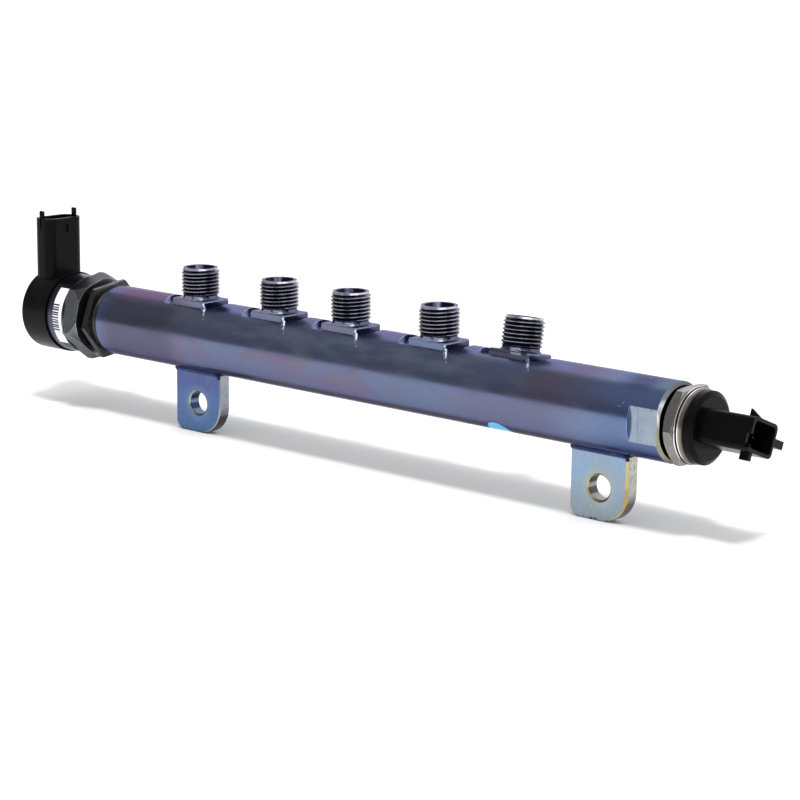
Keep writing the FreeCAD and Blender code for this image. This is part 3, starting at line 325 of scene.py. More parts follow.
class RailPlating(Paint):
    """Iridescent zinc plating: blue, lavender and mauve patches over a turned steel surface."""

    def __init__(self):
        super().__init__("rail_plating")
        self.soften_edges(0.2)
        self.along, self.across, self.height = self.axes()
        self.out_x, self.out_y, self.out_z = self.facing()
        self.cloud = self.noise(14.0, 4.0, stretch=(0.55, 1.2, 1.2), distortion=0.6)
        self.wisps = self.noise(4.0, 5.0, stretch=(0.25, 1.0, 1.0), distortion=0.4)
        # The band facing the front and half up; painted shade is laid along it.
        self.middle = self.both(self.band(self.out_z, 0.50, 0.26, 0.14),
                                self.ramp(self.out_y, -0.2, -0.4))
        self.diagonal = self.math("MULTIPLY_ADD", self.across, 0.874, self.along)
        self.patches()
        self.lengthwise_bands()
        self.local_tints()
        self.left_and_right_ends()
        self.grain_and_sparks()
        self.stubs()
        self.pads()
        self.feet()
        self.edge_wear_and_rib_highlights()
        self.marking_dot()
        self.wrench_flats()
        self.end_ring()
        self.surface()

    def patches(self):
        """Broad patches of the plating's four hues."""
        lavender = (0.140, 0.165, 0.275)
        mauve = (0.165, 0.145, 0.235)
        blue = (0.133, 0.178, 0.290)
        grey = (0.160, 0.175, 0.200)
        self.colour = self.blend(self.ramp(self.cloud, 0.42, 0.60), lavender, mauve)
        drift = self.noise(70.0, 2.0, stretch=(1.0, 0.8, 0.8))
        self.over(self.ramp(drift, 0.42, 0.58), blue)
        self.over(self.ramp(self.wisps, 0.48, 0.70, 0.0, 0.55), grey)

    def lengthwise_bands(self):
        """A streaked band of painted shade along the front with a painted highlight in its centre, and a
        pink painted reflection on top.
        """
        streaks = self.ramp(self.noise(9.0, 4.0, stretch=(0.35, 1.3, 1.3)), 0.42, 0.62)
        # Painted shade along the front band.
        painted_front_shade = self.blend(streaks, (0.134, 0.158, 0.270), (0.168, 0.192, 0.268))
        self.over(self.middle, painted_front_shade, 0.85)
        # A painted highlight, bluer, in the centre of the front band.
        centre = self.both(self.middle, streaks, self.band(self.along, -12.0, 50.0, 30.0))
        self.over(centre, (0.200, 0.250, 0.370), 0.7)
        # A pink painted reflection along the top of the tube.
        patchy = self.ramp(self.noise(22.0, 3.0), 0.42, 0.58)
        painted_crown_reflection = self.blend(patchy, (0.190, 0.150, 0.285), (0.165, 0.195, 0.350))
        self.over(self.ramp(self.out_z, 0.86, 0.95), painted_crown_reflection, 0.85)

    def local_tints(self):
        """A bruise on the front, two blushes on top, a mauve belly and a smoky left part."""
        ragged = self.math("MULTIPLY_ADD", self.cloud, 20.0, self.along)
        bruise = self.both(self.middle, self.band(ragged, 105.0, 10.0, 12.0))
        self.over(bruise, (0.165, 0.130, 0.180), 0.7)
        blushes = self.either(self.band(self.along, 108.0, 8.0, 12.0),
                              self.band(self.along, -132.0, 12.0, 10.0))
        self.over(self.both(blushes, self.ramp(self.out_z, 0.76, 0.90)), (0.185, 0.128, 0.200))
        belly = self.both(self.band(self.along, 85.0, 30.0, 18.0), self.ramp(self.out_z, 0.36, 0.24))
        self.over(belly, (0.150, 0.138, 0.235), 0.65)
        smoky = self.both(self.band(ragged, -120.0, 16.0, 12.0), self.ramp(self.out_z, 0.85, 0.70))
        self.over(smoky, (0.112, 0.112, 0.172))

    def left_and_right_ends(self):
        """Bluer plating towards both ends; at the right, darker in the front shade band, with painted
        shade on the underside and a painted reflection on top, dark then teal.
        """
        left = self.both(self.ramp(self.along, -147.0, -155.0),
                         self.ramp(self.cloud, 0.38, 0.64, 0.0, 0.8))
        self.over(left, (0.105, 0.140, 0.290))
        ragged = self.math("MULTIPLY_ADD", self.cloud, 30.0, self.along)
        # Darker in the front band, where painted shade lies.
        blue = self.blend(self.middle, (0.185, 0.285, 0.450), (0.13, 0.19, 0.40))
        self.over(self.ramp(ragged, 100.0, 150.0), blue)
        front = self.both(self.ramp(self.along, 100.0, 122.0), self.ramp(self.out_z, 0.55, 0.25))
        self.over(front, (0.080, 0.105, 0.225), 0.5)
        # Painted shade on the underside at the right end.
        belly = self.both(self.ramp(self.along, 95.0, 130.0), self.ramp(self.out_z, -0.30, -0.80))
        self.over(belly, (0.050, 0.070, 0.190), 0.85)
        # A painted reflection along the top at the right end, dark then teal.
        crown = self.both(self.ramp(self.along, 112.0, 124.0), self.ramp(self.out_z, 0.72, 0.88))
        teal = self.blend(self.ramp(self.along, 127.0, 135.0),
                          (0.075, 0.082, 0.165), (0.135, 0.190, 0.260))
        self.over(crown, teal, 0.85)

    def grain_and_sparks(self):
        """Fine grain, dark specks, bright sparks near the right end and painted shade, greyer, along the
        underside.
        """
        grain = self.noise(0.8, 4.0, stretch=(0.6, 1.0, 1.0), roughness=0.7)
        self.over(self.ramp(grain, 0.56, 0.74, 0.0, 0.35), (0.07, 0.08, 0.13))
        specks = self.ramp(self.noise(1.0, 4.0, roughness=0.7), 0.66, 0.76)
        self.over(specks, (0.03, 0.03, 0.05), 0.45)
        sparks = self.both(self.ramp(self.cells(2.0), 0.08, 0.14, 1.0, 0.0),
                           self.ramp(self.noise(9.0, 2.0), 0.47, 0.52),
                           self.ramp(self.along, 114.0, 120.0),
                           self.ramp(self.along, 135.5, 133.5),
                           self.ramp(self.out_z, 0.15, 0.3))
        self.over(sparks, (0.75, 0.85, 1.0))
        # Painted shade along the underside of the tube.
        painted_keel_shade = self.both(self.ramp(self.out_z, -0.60, -0.86), self.band(self.along, 5.0, 85.0, 40.0))
        self.over(painted_keel_shade, (0.100, 0.090, 0.095), 0.85)

    def stubs(self):
        """Stub bores painted dark as shade, with a painted glint down the front and a painted highlight
        on the lighter rim.
        """
        # Above the neck the stub is painted dark as shade, with a painted glint down its front.
        uneven = self.ramp(self.noise(2.0, 3.0, stretch=(1.0, 1.0, 0.1)), 0.40, 0.60, 0.3, 1.0)
        painted_glints = self.both(self.beside_ports(self.diagonal, -1.0, 1.6, 1.2), uneven)
        dark = self.blend(painted_glints, (0.011, 0.012, 0.028), (0.120, 0.125, 0.185))
        self.over(self.ramp(self.height, NECK_TOP, NECK_TOP + 0.8), dark)
        # A painted highlight on the stub's rim.
        rim = self.both(self.ramp(self.out_z, 0.93, 0.97),
                        self.ramp(self.height, STUB_RIM, STUB_RIM + 0.5))
        self.over(rim, (0.20, 0.205, 0.24))

    def pads(self):
        """Painted shade on the pads' right sides, painted highlights on their front chamfers, painted
        shade in the corners and painted gleams on the spot faces.
        """
        beside_pad = self.both(self.ramp(self.height, PAD_FLOOR - 3.3, PAD_FLOOR - 2.6),
                               self.ramp(self.height, PAD_TOP + 0.9, PAD_TOP + 0.3))
        # Painted shade on the pads' right sides.
        self.over(self.both(beside_pad, self.ramp(self.out_x, 0.85, 0.95)), (0.055, 0.060, 0.100), 0.8)
        self.pad_chamfer_highlight = self.both(beside_pad,
                                  self.band(self.out_z, 0.707, 0.15, 0.08),
                                  self.ramp(self.out_y, -0.60, -0.66),
                                  self.ramp(self.height, PAD_FLOOR + 1.2, PAD_FLOOR + 1.6))
        # A painted highlight on the pads' front chamfers.
        self.over(self.pad_chamfer_highlight, (0.34, 0.37, 0.47))
        # Painted shade in the inner corners round the pads.
        painted_corner_shade = self.both(self.hollow(1.4),
                          self.ramp(self.height, PAD_FLOOR - 1.8, PAD_FLOOR - 0.8),
                          self.ramp(self.height, PAD_TOP - 0.3, PAD_TOP - 1.3))
        self.over(painted_corner_shade, (0.012, 0.014, 0.035), 0.75)
        crescent = self.both(self.beside_ports(self.along, -15.6, 0.9),
                             self.ramp(self.out_x, 0.3, 0.6),
                             self.ramp(self.height, PAD_FLOOR - 0.1, PAD_FLOOR + 0.1))
        # A painted gleam on the spot faces' crescent walls, light in front and dark behind.
        painted_crescent_gleam = self.blend(self.ramp(self.across, -4.0, -1.0),
                           (0.60, 0.70, 0.90), (0.020, 0.025, 0.060))
        self.over(crescent, painted_crescent_gleam)
        # A painted gleam on the front of the spot faces' floors.
        painted_floor_gleam = self.both(self.beside_ports(self.along, -13.6, 1.3),
                                self.ramp(self.out_z, 0.97, 0.99),
                                self.band(self.height, PAD_FLOOR, 0.1, 0.1),
                                self.ramp(self.across, -3.0, -4.5))
        self.over(painted_floor_gleam, (0.34, 0.44, 0.66))

    def feet(self):
        """The fillet round each stub's foot, painted darker as shade, with a painted glint on its front.
        """
        self.foot = self.both(self.ramp(self.height, PAD_TOP - 0.3, PAD_TOP + 0.2),
                              self.ramp(self.height, PAD_TOP + 2.5, PAD_TOP + 1.9),
                              self.ramp(self.out_z, 0.985, 0.96),
                              self.ramp(self.out_z, 0.02, 0.15),
                              self.beside_ports(self.along, 0.0, 9.0),
                              self.inverse(self.pad_chamfer_highlight))
        # A painted glint on the front of each fillet; the rest of it is painted darker as shade.
        lit = self.both(self.beside_ports(self.diagonal, -0.6, 1.6, 1.6),
                        self.ramp(self.across, -1.0, -3.0))
        self.over(self.foot, self.blend(lit, (0.10, 0.11, 0.16), (0.70, 0.80, 1.00)))

    def edge_wear_and_rib_highlights(self):
        """Lighter outer edges, partly wear and partly painted highlight, and painted highlights on the
        ribs at the pads' front corners.
        """
        scuffed = self.ramp(self.noise(2.0, 4.0), 0.32, 0.55, 0.2, 0.8)
        before_ring = self.ramp(self.along, RAIL_RIGHT - 2.1, RAIL_RIGHT - 2.6)
        # Lighter outer edges: partly wear, partly painted highlight.
        self.over(self.both(self.corners(0.4), scuffed, before_ring), (0.60, 0.66, 0.84))
        # Painted highlights on the ribs at the pads' front corners.
        painted_rib_highlights = self.both(self.beside_ports(self.along, 10.4, 1.7),
                          self.ramp(self.across, -6.8, -7.4),
                          self.ramp(self.height, PAD_FLOOR - 2.8, PAD_FLOOR - 1.8),
                          self.ramp(self.height, PAD_TOP - 0.2, PAD_TOP - 1.2),
                          self.ramp(self.noise(1.6, 2.0), 0.36, 0.48),
                          self.ramp(self.math("ABSOLUTE", self.out_x), 0.12, 0.25))
        self.over(painted_rib_highlights, (0.85, 0.88, 1.0))

    def marking_dot(self):
        """A dab of cyan marking paint with a dark outline, low on the front of the tube."""
        place, angle, radius = 61.8, math.radians(29.0), 5.35
        below = self.math("SUBTRACT", RAIL_HEIGHT, self.height)
        under = self.math("ARCTAN2", self.math("MULTIPLY", self.across, -1.0), below)
        round_tube = self.math("MULTIPLY", self.past(under, angle), TUBE_RADIUS)
        spot = self.away(self.past(self.along, place), round_tube)
        self.over(self.ramp(spot, radius + 0.85, radius + 0.05), (0.02, 0.03, 0.10), 0.6)
        ragged = self.math("MULTIPLY_ADD", self.wisps, 0.6, spot)
        self.dab = self.ramp(ragged, radius + 0.1, radius - 0.1)
        self.over(self.dab, (0.085, 0.50, 0.86))

    def wrench_flats(self):
        """Bare milled flats at the right end, with a scribed line and stained edges."""
        scribed_at = FLAT_START + 3.7
        flat = self.both(self.band(self.math("ABSOLUTE", self.across), FLAT_REACH, 0.03, 0.02),
                         self.ramp(self.along, FLAT_START - 0.2, FLAT_START))
        cloudy = self.ramp(self.noise(5.0, 4.0, stretch=(1.0, 1.0, 0.5)), 0.35, 0.65)
        bare = self.blend(cloudy, (0.29, 0.35, 0.43), (0.20, 0.26, 0.36))
        beyond = self.ramp(self.along, scribed_at + 0.2, scribed_at + 5.2, 0.0, 0.4)
        bare = self.blend(beyond, bare, (0.38, 0.41, 0.43))
        scribe = self.math("MULTIPLY", self.band(self.along, scribed_at, 0.05, 0.12), 0.6)
        bare = self.blend(scribe, bare, (0.10, 0.11, 0.14))
        near_edge = self.ramp(self.math("ABSOLUTE", self.past(self.height, RAIL_HEIGHT)), 5.0, 6.0)
        stained = self.both(self.ramp(self.noise(0.7, 3.0, roughness=0.75), 0.58, 0.64), near_edge)
        self.over(flat, self.blend(stained, bare, (0.03, 0.03, 0.04)))

    def end_ring(self):
        """The straw-coloured ring round the right end, with a painted highlight across its upper middle
        and painted shade at its top, and the end face inside it painted dark as shade.
        """
        end_face = self.ramp(self.along, RAIL_RIGHT - 0.04, RAIL_RIGHT + 0.02)
        self.ring = self.both(self.ramp(self.along, RAIL_RIGHT - 1.18, RAIL_RIGHT - 1.08),
                              self.ramp(self.along, RAIL_RIGHT + 0.02, RAIL_RIGHT - 0.04))
        # Pale straw low down, a painted highlight higher up, and painted shade at the top.
        straw = self.blend(self.ramp(self.height, RAIL_HEIGHT - 1.0, RAIL_HEIGHT + 5.0),
                           (0.30, 0.29, 0.19), (0.78, 0.80, 0.77))
        straw = self.blend(self.ramp(self.height, RAIL_HEIGHT + 7.5, RAIL_HEIGHT + 10.5),
                           straw, (0.15, 0.155, 0.14))
        self.over(self.ring, straw)
        # The end face painted dark as shade.
        self.over(end_face, (0.012, 0.012, 0.014))

    def surface(self):
        self.set("Specular Tint", (0.58, 0.56, 0.68))
        self.set("Metallic", self.ramp(self.dab, 0.0, 1.0, 1.0, 0.0))
        uneven = self.ramp(self.cloud, 0.3, 0.7, 0.20, 0.30)
        rough = self.blend(self.foot, uneven, (0.13, 0.13, 0.13))
        self.set("Roughness", self.math("MULTIPLY_ADD", self.ring, 0.10, rough))
        turning_lines = self.noise(0.5, 3.0, stretch=(1.0, 0.05, 0.05))
        self.bump(turning_lines, 0.003)
        self.bump(self.noise(9.0, 3.0), 0.01)


def thread_steel():
    """Rolled thread: crests lightened by wear and by painted reflection columns, plated flanks and roots
    painted dark as shade, and a turned lip lightened as a painted highlight.
    """
    # The dark base colour is painted shade on the flanks and roots.
    paint = Paint("thread_steel", (0.038, 0.040, 0.062))
    crest = paint.attribute("crest")
    patches = paint.ramp(paint.noise(3.0, 4.0), 0.35, 0.65)
    # Painted reflection columns round the thread.
    painted_reflection_columns = paint.ramp(paint.noise(5.0, 3.0, stretch=(1.0, 1.0, 0.08)), 0.36, 0.60)
    light = paint.blend(painted_reflection_columns, (0.060, 0.060, 0.085), (0.300, 0.310, 0.370))
    paint.over(paint.ramp(crest, 0.55, 1.0), light)
    scuffed = paint.both(paint.ramp(crest, 0.94, 1.0), paint.ramp(patches, 0.0, 1.0, 0.1, 0.5))
    paint.over(scuffed, (0.52, 0.53, 0.60))
    # The turned lip, lightened as a painted highlight.
    turned = paint.blend(painted_reflection_columns, (0.30, 0.30, 0.35), (0.62, 0.63, 0.70))
    paint.over(paint.attribute("lip"), turned)
    paint.set("Metallic", 1.0)
    paint.set("Roughness", paint.ramp(patches, 0.0, 1.0, 0.20, 0.32))
    paint.bump(paint.noise(0.3, 3.0), 0.006)
    return paint


class BracketPlating(Paint):
    """Blue plating on a cut plate, straw-coloured at the hole and the right edge."""

    def __init__(self):
        super().__init__("bracket_plating")
        self.soften_edges(0.2)
        along, across, self.up = self.axes()
        self.outwards, self.rightwards = self.from_bolt(along)
        self.on_right = self.ramp(along, -10.0, 10.0)
        self.cloud = self.noise(9.0, 4.0)
        self.fleck = self.ramp(self.noise(1.6, 5.0, roughness=0.7), 0.45, 0.70)
        self.faces()
        self.bolt_hole()
        self.cut_edge()
        self.marks()
        self.set("Metallic", 1.0)
        self.set("Roughness", self.ramp(self.cloud, 0.3, 0.7, 0.30, 0.42))
        self.bump(self.noise(0.5, 4.0), 0.015)

    def by_side(self, left, right):
        """One colour for the left bracket and one for the right."""
        return self.blend(self.on_right, left, right)

    def faces(self):
        """Deep blue on the left plate and pale blue on the right one, duller low down."""
        patchy = self.ramp(self.cloud, 0.38, 0.62)
        deep = self.blend(patchy, (0.10, 0.14, 0.34), (0.10, 0.17, 0.33))
        ragged = self.math("MULTIPLY_ADD", self.cloud, 8.0, self.up)
        deep = self.blend(self.ramp(ragged, 6.0, 14.0), deep, (0.098, 0.118, 0.285))
        pale = self.blend(patchy, (0.25, 0.37, 0.54), (0.31, 0.40, 0.49))
        self.colour = self.by_side(deep, pale)
        low_tint = self.by_side((0.085, 0.165, 0.300), (0.28, 0.33, 0.36))
        self.over(self.ramp(self.up, -10.0, 4.0, 0.8, 0.0), low_tint)
        self.over(self.fleck, self.by_side((0.16, 0.25, 0.42), (0.42, 0.50, 0.58)), 0.25)

    def bolt_hole(self):
        """A halo and a straw rim round the hole, and painted reflection bands, dark and light, on the
        wall inside it.
        """
        past_hole = self.past(self.away(self.outwards, self.up), HOLE_RADIUS)
        halo = self.by_side((0.15, 0.25, 0.40), (0.40, 0.45, 0.42))
        self.over(self.ramp(past_hole, 0.75, 4.75, 0.45, 0.0), halo)
        rim = self.by_side((0.40, 0.44, 0.36), (0.56, 0.49, 0.20))
        self.over(self.ramp(past_hole, 0.55, 1.05, 1.0, 0.0), rim)
        # Painted reflection bands, dark and light, on the hole's wall.
        painted_reflection_bands = self.ramp(self.math("SINE", self.math("MULTIPLY_ADD", self.up, 1.5, 1.2)), -0.2, 0.7)
        wall_painted_dark = self.by_side((0.035, 0.050, 0.090), (0.085, 0.085, 0.095))
        wall_painted_light = self.by_side((0.15, 0.22, 0.36), (0.34, 0.34, 0.35))
        self.over(self.ramp(past_hole, 0.20, 0.30, 1.0, 0.0), self.blend(painted_reflection_bands, wall_painted_dark, wall_painted_light))

    def cut_edge(self):
        """Straw stripes along the right edge and round its corner, and the sawn side, painted darker low
        down as shade.
        """
        sideways = self.math("MAXIMUM", self.past(self.rightwards, BRACKET_HALF - BRACKET_CORNER), 0.0)
        below = self.math("SUBTRACT", BRACKET_LOW + BRACKET_CORNER, self.up)
        downwards = self.math("MAXIMUM", below, 0.0)
        inside = self.math("SUBTRACT", BRACKET_CORNER, self.away(sideways, downwards))
        right_part = self.ramp(self.rightwards, 2.0, 6.0)
        line = self.both(self.ramp(inside, 0.2, 0.6, 1.0, 0.0),
                         right_part,
                         self.ramp(self.up, 4.0, -2.0, 0.25, 0.9),
                         self.inverse(self.on_right))
        self.over(line, (0.50, 0.50, 0.42))
        width = self.ramp(self.up, -10.0, 0.0, 0.6, 1.4)
        stripe = self.both(self.ramp(self.past(inside, width), -0.4, 0.1, 1.0, 0.0),
                           right_part,
                           self.on_right)
        amber = self.blend(self.band(self.up, -3.0, 3.0, 3.0), (0.58, 0.52, 0.24), (0.50, 0.34, 0.09))
        self.over(stripe, amber)
        self.side = self.both(self.ramp(inside, 0.05, 0.12, 1.0, 0.0),
                              self.ramp(self.rightwards, 1.5, 3.0))
        cut = self.by_side((0.30, 0.33, 0.36), (0.45, 0.45, 0.41))
        cut = self.blend(self.fleck, cut, (0.22, 0.22, 0.22))
        # Painted shade on the low, downturned part of the sawn side.
        painted_low_shade = self.by_side((0.06, 0.055, 0.06), (0.16, 0.14, 0.13))
        self.over(self.side, self.blend(self.ramp(self.up, -5.0, -2.8, 0.85, 0.0), cut, painted_low_shade))

    def marks(self):
        """Dark specks, painted shade in the corner at the upper right, and dark patches along the foot.
        """
        specks = self.ramp(self.noise(0.8, 4.0, roughness=0.7), 0.66, 0.76)
        self.over(specks, (0.06, 0.06, 0.07), 0.4)
        # Painted shade in the corner at the upper right, under the rail.
        painted_notch_shade = self.both(self.ramp(self.rightwards, BRACKET_HALF - 1.8, BRACKET_HALF - 1.2),
                          self.ramp(self.up, 11.6, 12.1),
                          self.inverse(self.side))
        self.over(painted_notch_shade, (0.012, 0.012, 0.014))
        # Patchy darkening along the bottom edge.
        dark_foot_patches = self.both(self.ramp(self.up, BRACKET_LOW + 1.5, BRACKET_LOW + 0.5),
                           self.ramp(self.noise(1.2, 3.0), 0.50, 0.60))
        self.over(dark_foot_patches, (0.03, 0.03, 0.035))


def weld_bead():
    """Plated weld bead: ripples along it, deep blue above, lighter along its foot, and painted shade at
    its right end.
    """
    ripple_pitch = 1.7
    paint = Paint("weld", (0.024, 0.034, 0.110))
    along, across, height = paint.axes()
    wobble = paint.noise(3.0, 3.0)
    paint.over(paint.ramp(height, 12.8, 13.6, 1.0, 0.0), (0.120, 0.170, 0.340))
    paint.over(paint.ramp(wobble, 0.45, 0.65, 0.0, 0.5), (0.070, 0.070, 0.160))
    outwards, rightwards = paint.from_bolt(along)
    # Painted shade at the bead's right end, by the plate's upper right corner.
    paint.over(paint.ramp(rightwards, 10.5, 12.0, 0.0, 0.8), (0.010, 0.011, 0.020))
    paint.set("Metallic", 1.0)
    paint.set("Roughness", paint.ramp(wobble, 0.3, 0.7, 0.25, 0.38))
    paint.soften_edges(0.35)
    shift = paint.math("MULTIPLY", wobble, 5.0)
    ripple = paint.math("SINE", paint.math("MULTIPLY_ADD", along, 2.0 * math.pi / ripple_pitch, shift))
    paint.bump(ripple, 0.05)
    paint.bump(paint.noise(0.6, 4.0), 0.02)
    return paint


def label_print():
    """White film printed with plain bars that run across it."""
    middle, half_width = -179.2, 2.1
    paint = Paint("label_film")
    along, across, height = paint.axes()
    angle = paint.math("ARCTAN2", paint.past(height, RAIL_HEIGHT), paint.math("MULTIPLY", across, -1.0))
    coarse = paint.math("SINE", paint.math("MULTIPLY", angle, 97.0))
    fine = paint.math("SINE", paint.math("MULTIPLY_ADD", angle, 58.0, 0.8))
    bars = paint.math("GREATER_THAN", paint.math("MULTIPLY_ADD", fine, 0.55, coarse), -0.38)
    field = paint.both(paint.band(along, middle, half_width, 0.05),
                       paint.band(angle, 0.015, 0.345, 0.002))
    soil = paint.ramp(paint.noise(5.0, 4.0), 0.4, 0.7)
    paint.colour = paint.blend(soil, (0.90, 0.90, 0.91), (0.78, 0.78, 0.81))
    paint.over(paint.both(bars, field), (0.02, 0.02, 0.022))
    paint.set("Roughness", 0.40)
    paint.bump(paint.noise(0.4, 3.0), 0.003)
    return paint


def valve_steel():
    """Coated housing: a brushed grey hexagon beside a darker can with a painted blue sheen and a painted
    highlight along its top.
    """
    can_end, sheen_at = -174.7, -182.2
    # The under colour is painted shade on faces turned down; the lighter edge colour is partly wear,
    # partly painted highlight.
    paint = steel("grey_steel", (0.150, 0.157, 0.178), (0.03, 0.03, 0.03), 0.32,
                  edge_wear_and_highlight=(0.80, 0.83, 0.88), under=(0.060, 0.068, 0.085))
    along, across, height = paint.axes()
    # A painted sheen, lavender blue, low on the can near the cap.
    sheen = paint.both(paint.band(along, sheen_at, 0.8, 1.6), paint.ramp(height, 42.0, 30.0))
    film = paint.blend(sheen, (0.028, 0.029, 0.042), (0.085, 0.086, 0.145))
    # A painted highlight along the top of the can.
    film = paint.blend(paint.ramp(height, 42.5, 45.5), film, (0.075, 0.076, 0.095))
    paint.over(paint.ramp(along, can_end + 0.2, can_end - 0.2), film)
    return paint


def sensor_steel():
    """Bare sensor body: brushed hexagon, polished lip ring, and painted shade in the groove and on the
    neck.
    """
    lip_at, groove_at, neck_end = 144.55, 145.05, 139.4
    # The lighter edge colour given here is partly wear, partly painted highlight.
    paint = steel("bright_steel", (0.255, 0.245, 0.235), (0.07, 0.065, 0.06), 0.24,
                  edge_wear_and_highlight=(0.48, 0.47, 0.45))
    along = paint.axes()[0]
    paint.over(paint.band(along, lip_at, 0.18, 0.1), (0.90, 0.90, 0.89))
    # Painted shade in the groove.
    paint.over(paint.band(along, groove_at, 0.10, 0.1), (0.03, 0.03, 0.03))
    # Painted shade on the neck, next to the rail's end.
    neck = paint.both(paint.ramp(along, neck_end + 0.1, neck_end - 0.1), paint.ramp(along, 100.0, 110.0))
    paint.over(neck, (0.015, 0.015, 0.017))
    return paint


def shell_steel():
    """Straw-coloured collar with fine turning lines, between a gap painted dark as shade and a rear edge
    that it darkens towards.
    """
    gap_end, lip_at = 145.47, 145.75
    # The lighter edge colour given here is partly wear, partly painted highlight.
    paint = steel("crimp_steel", (0.33, 0.30, 0.25), (0.10, 0.085, 0.065), 0.24,
                  edge_wear_and_highlight=(0.50, 0.47, 0.41))
    lines = paint.ramp(paint.noise(0.35, 2.0, stretch=(1.0, 0.02, 0.02)), 0.40, 0.60)
    paint.over(lines, (0.20, 0.18, 0.145), 0.35)
    along = paint.axes()[0]
    # Darker towards the rear edge.
    paint.over(paint.ramp(along, 146.15, 147.4), (0.13, 0.115, 0.095))
    paint.over(paint.band(along, lip_at, 0.17, 0.1), (0.92, 0.91, 0.87))
    # Painted shade in the gap.
    paint.over(paint.ramp(along, gap_end + 0.05, gap_end - 0.05), (0.02, 0.02, 0.02))
    paint.bump(lines, 0.01)
    return paint


PAINTS = {
    "rail_plating": RailPlating(),
    "bracket_plating": BracketPlating(),
    "weld": weld_bead(),
    # Nut: the under colour is painted shade on faces turned down; the lighter edge colour is partly
    # wear, partly painted highlight.
    "black_steel": steel("black_steel", (0.062, 0.059, 0.055), (0.012, 0.012, 0.013), 0.28,
                         edge_wear_and_highlight=(0.17, 0.16, 0.145), under=(0.022, 0.021, 0.021)),
    "grey_steel": valve_steel(),
    "bright_steel": sensor_steel(),
    "hard_steel": steel("hard_steel", (0.60, 0.60, 0.61), (0.2, 0.2, 0.2), 0.15),
    "soft_iron": steel("soft_iron", (0.40, 0.40, 0.42), (0.1, 0.1, 0.1), 0.38),
    "copper": steel("copper", (0.72, 0.36, 0.20), (0.2, 0.08, 0.04), 0.30),
    "bobbin_plastic": plastic("bobbin_plastic", (0.030, 0.030, 0.032), 0.5),
    "black_plastic": plastic("black_plastic", (0.0020, 0.0020, 0.0022), 0.30, shine=0.08),
    "label_film": label_print(),
    "tinned_brass": steel("tinned_brass", (0.62, 0.60, 0.52), (0.2, 0.18, 0.12), 0.25),
    "seal_rubber": plastic("seal_rubber", (0.012, 0.012, 0.012), 0.55),
    "backup_plastic": plastic("backup_plastic", (0.80, 0.79, 0.74), 0.4),
    "circuit_board": plastic("circuit_board", (0.02, 0.12, 0.05), 0.4),
    "crimp_steel": shell_steel(),
}
for entry in frame["record"]["subparts"]:
    item = nodes[entry["node"]]
    item.data.materials.clear()
    item.data.materials.append(PAINTS[entry["material_slot"]].material)

# Union threads, in a port's own frame: heights above the rail's axis and radii, in millimetres
THREAD_RADIUS = ports[0]["dims"]["r_mm"]
THREAD_DEPTH = 0.92
THREAD_LOW = 17.2
THREAD_HIGH = 28.8
CHAMFER_LOW_END = 18.0
CHAMFER_HIGH_START = 27.4
CHAMFER_RADIUS = 7.2
LIP_START = 27.7
LIP_FADE = 0.15
PITCH = 1.5
STEPS_PER_TURN = 96
WALL_TOLERANCE = 0.02
WALL_LEAST_RISE = 0.1
# One pitch of the thread: share of the pitch and rise from root to crest
PROFILE = ((0.00, 0.00), (0.05, 0.04), (0.42, 0.94), (0.47, 1.00), (0.58, 1.00), (0.63, 0.94),
           (1.00, 0.04))


def station(x, tilt):
    """Places a port's own frame on the rail."""
    turned = Matrix.Rotation(-tilt, 4, "X")
    return Matrix.Translation((x * MM, 0.0, RAIL_HEIGHT * MM)) @ turned


def wall_radius(z):
    """The stub's turned outline over its chamfers, at a height in its own frame."""
    slope = THREAD_RADIUS - CHAMFER_RADIUS
    if z < CHAMFER_LOW_END:
        return CHAMFER_RADIUS + slope * (z - THREAD_LOW) / (CHAMFER_LOW_END - THREAD_LOW)
    if z > CHAMFER_HIGH_START:
        return THREAD_RADIUS - slope * (z - CHAMFER_HIGH_START) / (THREAD_HIGH - CHAMFER_HIGH_START)
    return THREAD_RADIUS


def thread_faces(corners, count):
    """Faces between neighbouring profiles, without the ones that the ends press flat."""
    least_rise = 1e-9
    faces = []
    wide = len(PROFILE)
    for i in range(count):
        for j in range(wide - 1):
            here, there = i * wide + j, (i + 1) * wide + j
            loop = [here, there, there + 1, here + 1]
            heights = [corners[k][2] for k in loop]
            if max(heights) - min(heights) > least_rise:
                faces.append(loop)
    return faces


def thread():
    """Corners, crest and lip shares and faces of one helical thread, in a port's own frame."""
    turns = (THREAD_HIGH - THREAD_LOW) / PITCH + 2.0
    count = int(turns * STEPS_PER_TURN)
    corners, crests, lips = [], [], []
    for i in range(count + 1):
        angle = 2.0 * math.pi * i / STEPS_PER_TURN
        for share, rise in PROFILE:
            z = THREAD_LOW - PITCH + PITCH * (i / STEPS_PER_TURN + share)
            z = min(max(z, THREAD_LOW), THREAD_HIGH)
            reach = min(THREAD_RADIUS - THREAD_DEPTH * (1.0 - rise), wall_radius(z))
            if z in (THREAD_LOW, THREAD_HIGH):
                reach = CHAMFER_RADIUS
            corners.append((reach * math.cos(angle) * MM, reach * math.sin(angle) * MM, z * MM))
            crests.append(1.0 - (THREAD_RADIUS - reach) / THREAD_DEPTH)
            lips.append(min(max((z - LIP_START) / LIP_FADE, 0.0), 1.0))
    return corners, crests, lips, thread_faces(corners, count)


def on_wall(point):
    """Tells whether a point in a port's own frame lies on its stub's turned wall."""
    z = point.z / MM
    reach = math.hypot(point.x, point.y) / MM
    in_height = THREAD_LOW - WALL_TOLERANCE < z < THREAD_HIGH + WALL_TOLERANCE
    return in_height and abs(reach - wall_radius(z)) < WALL_TOLERANCE


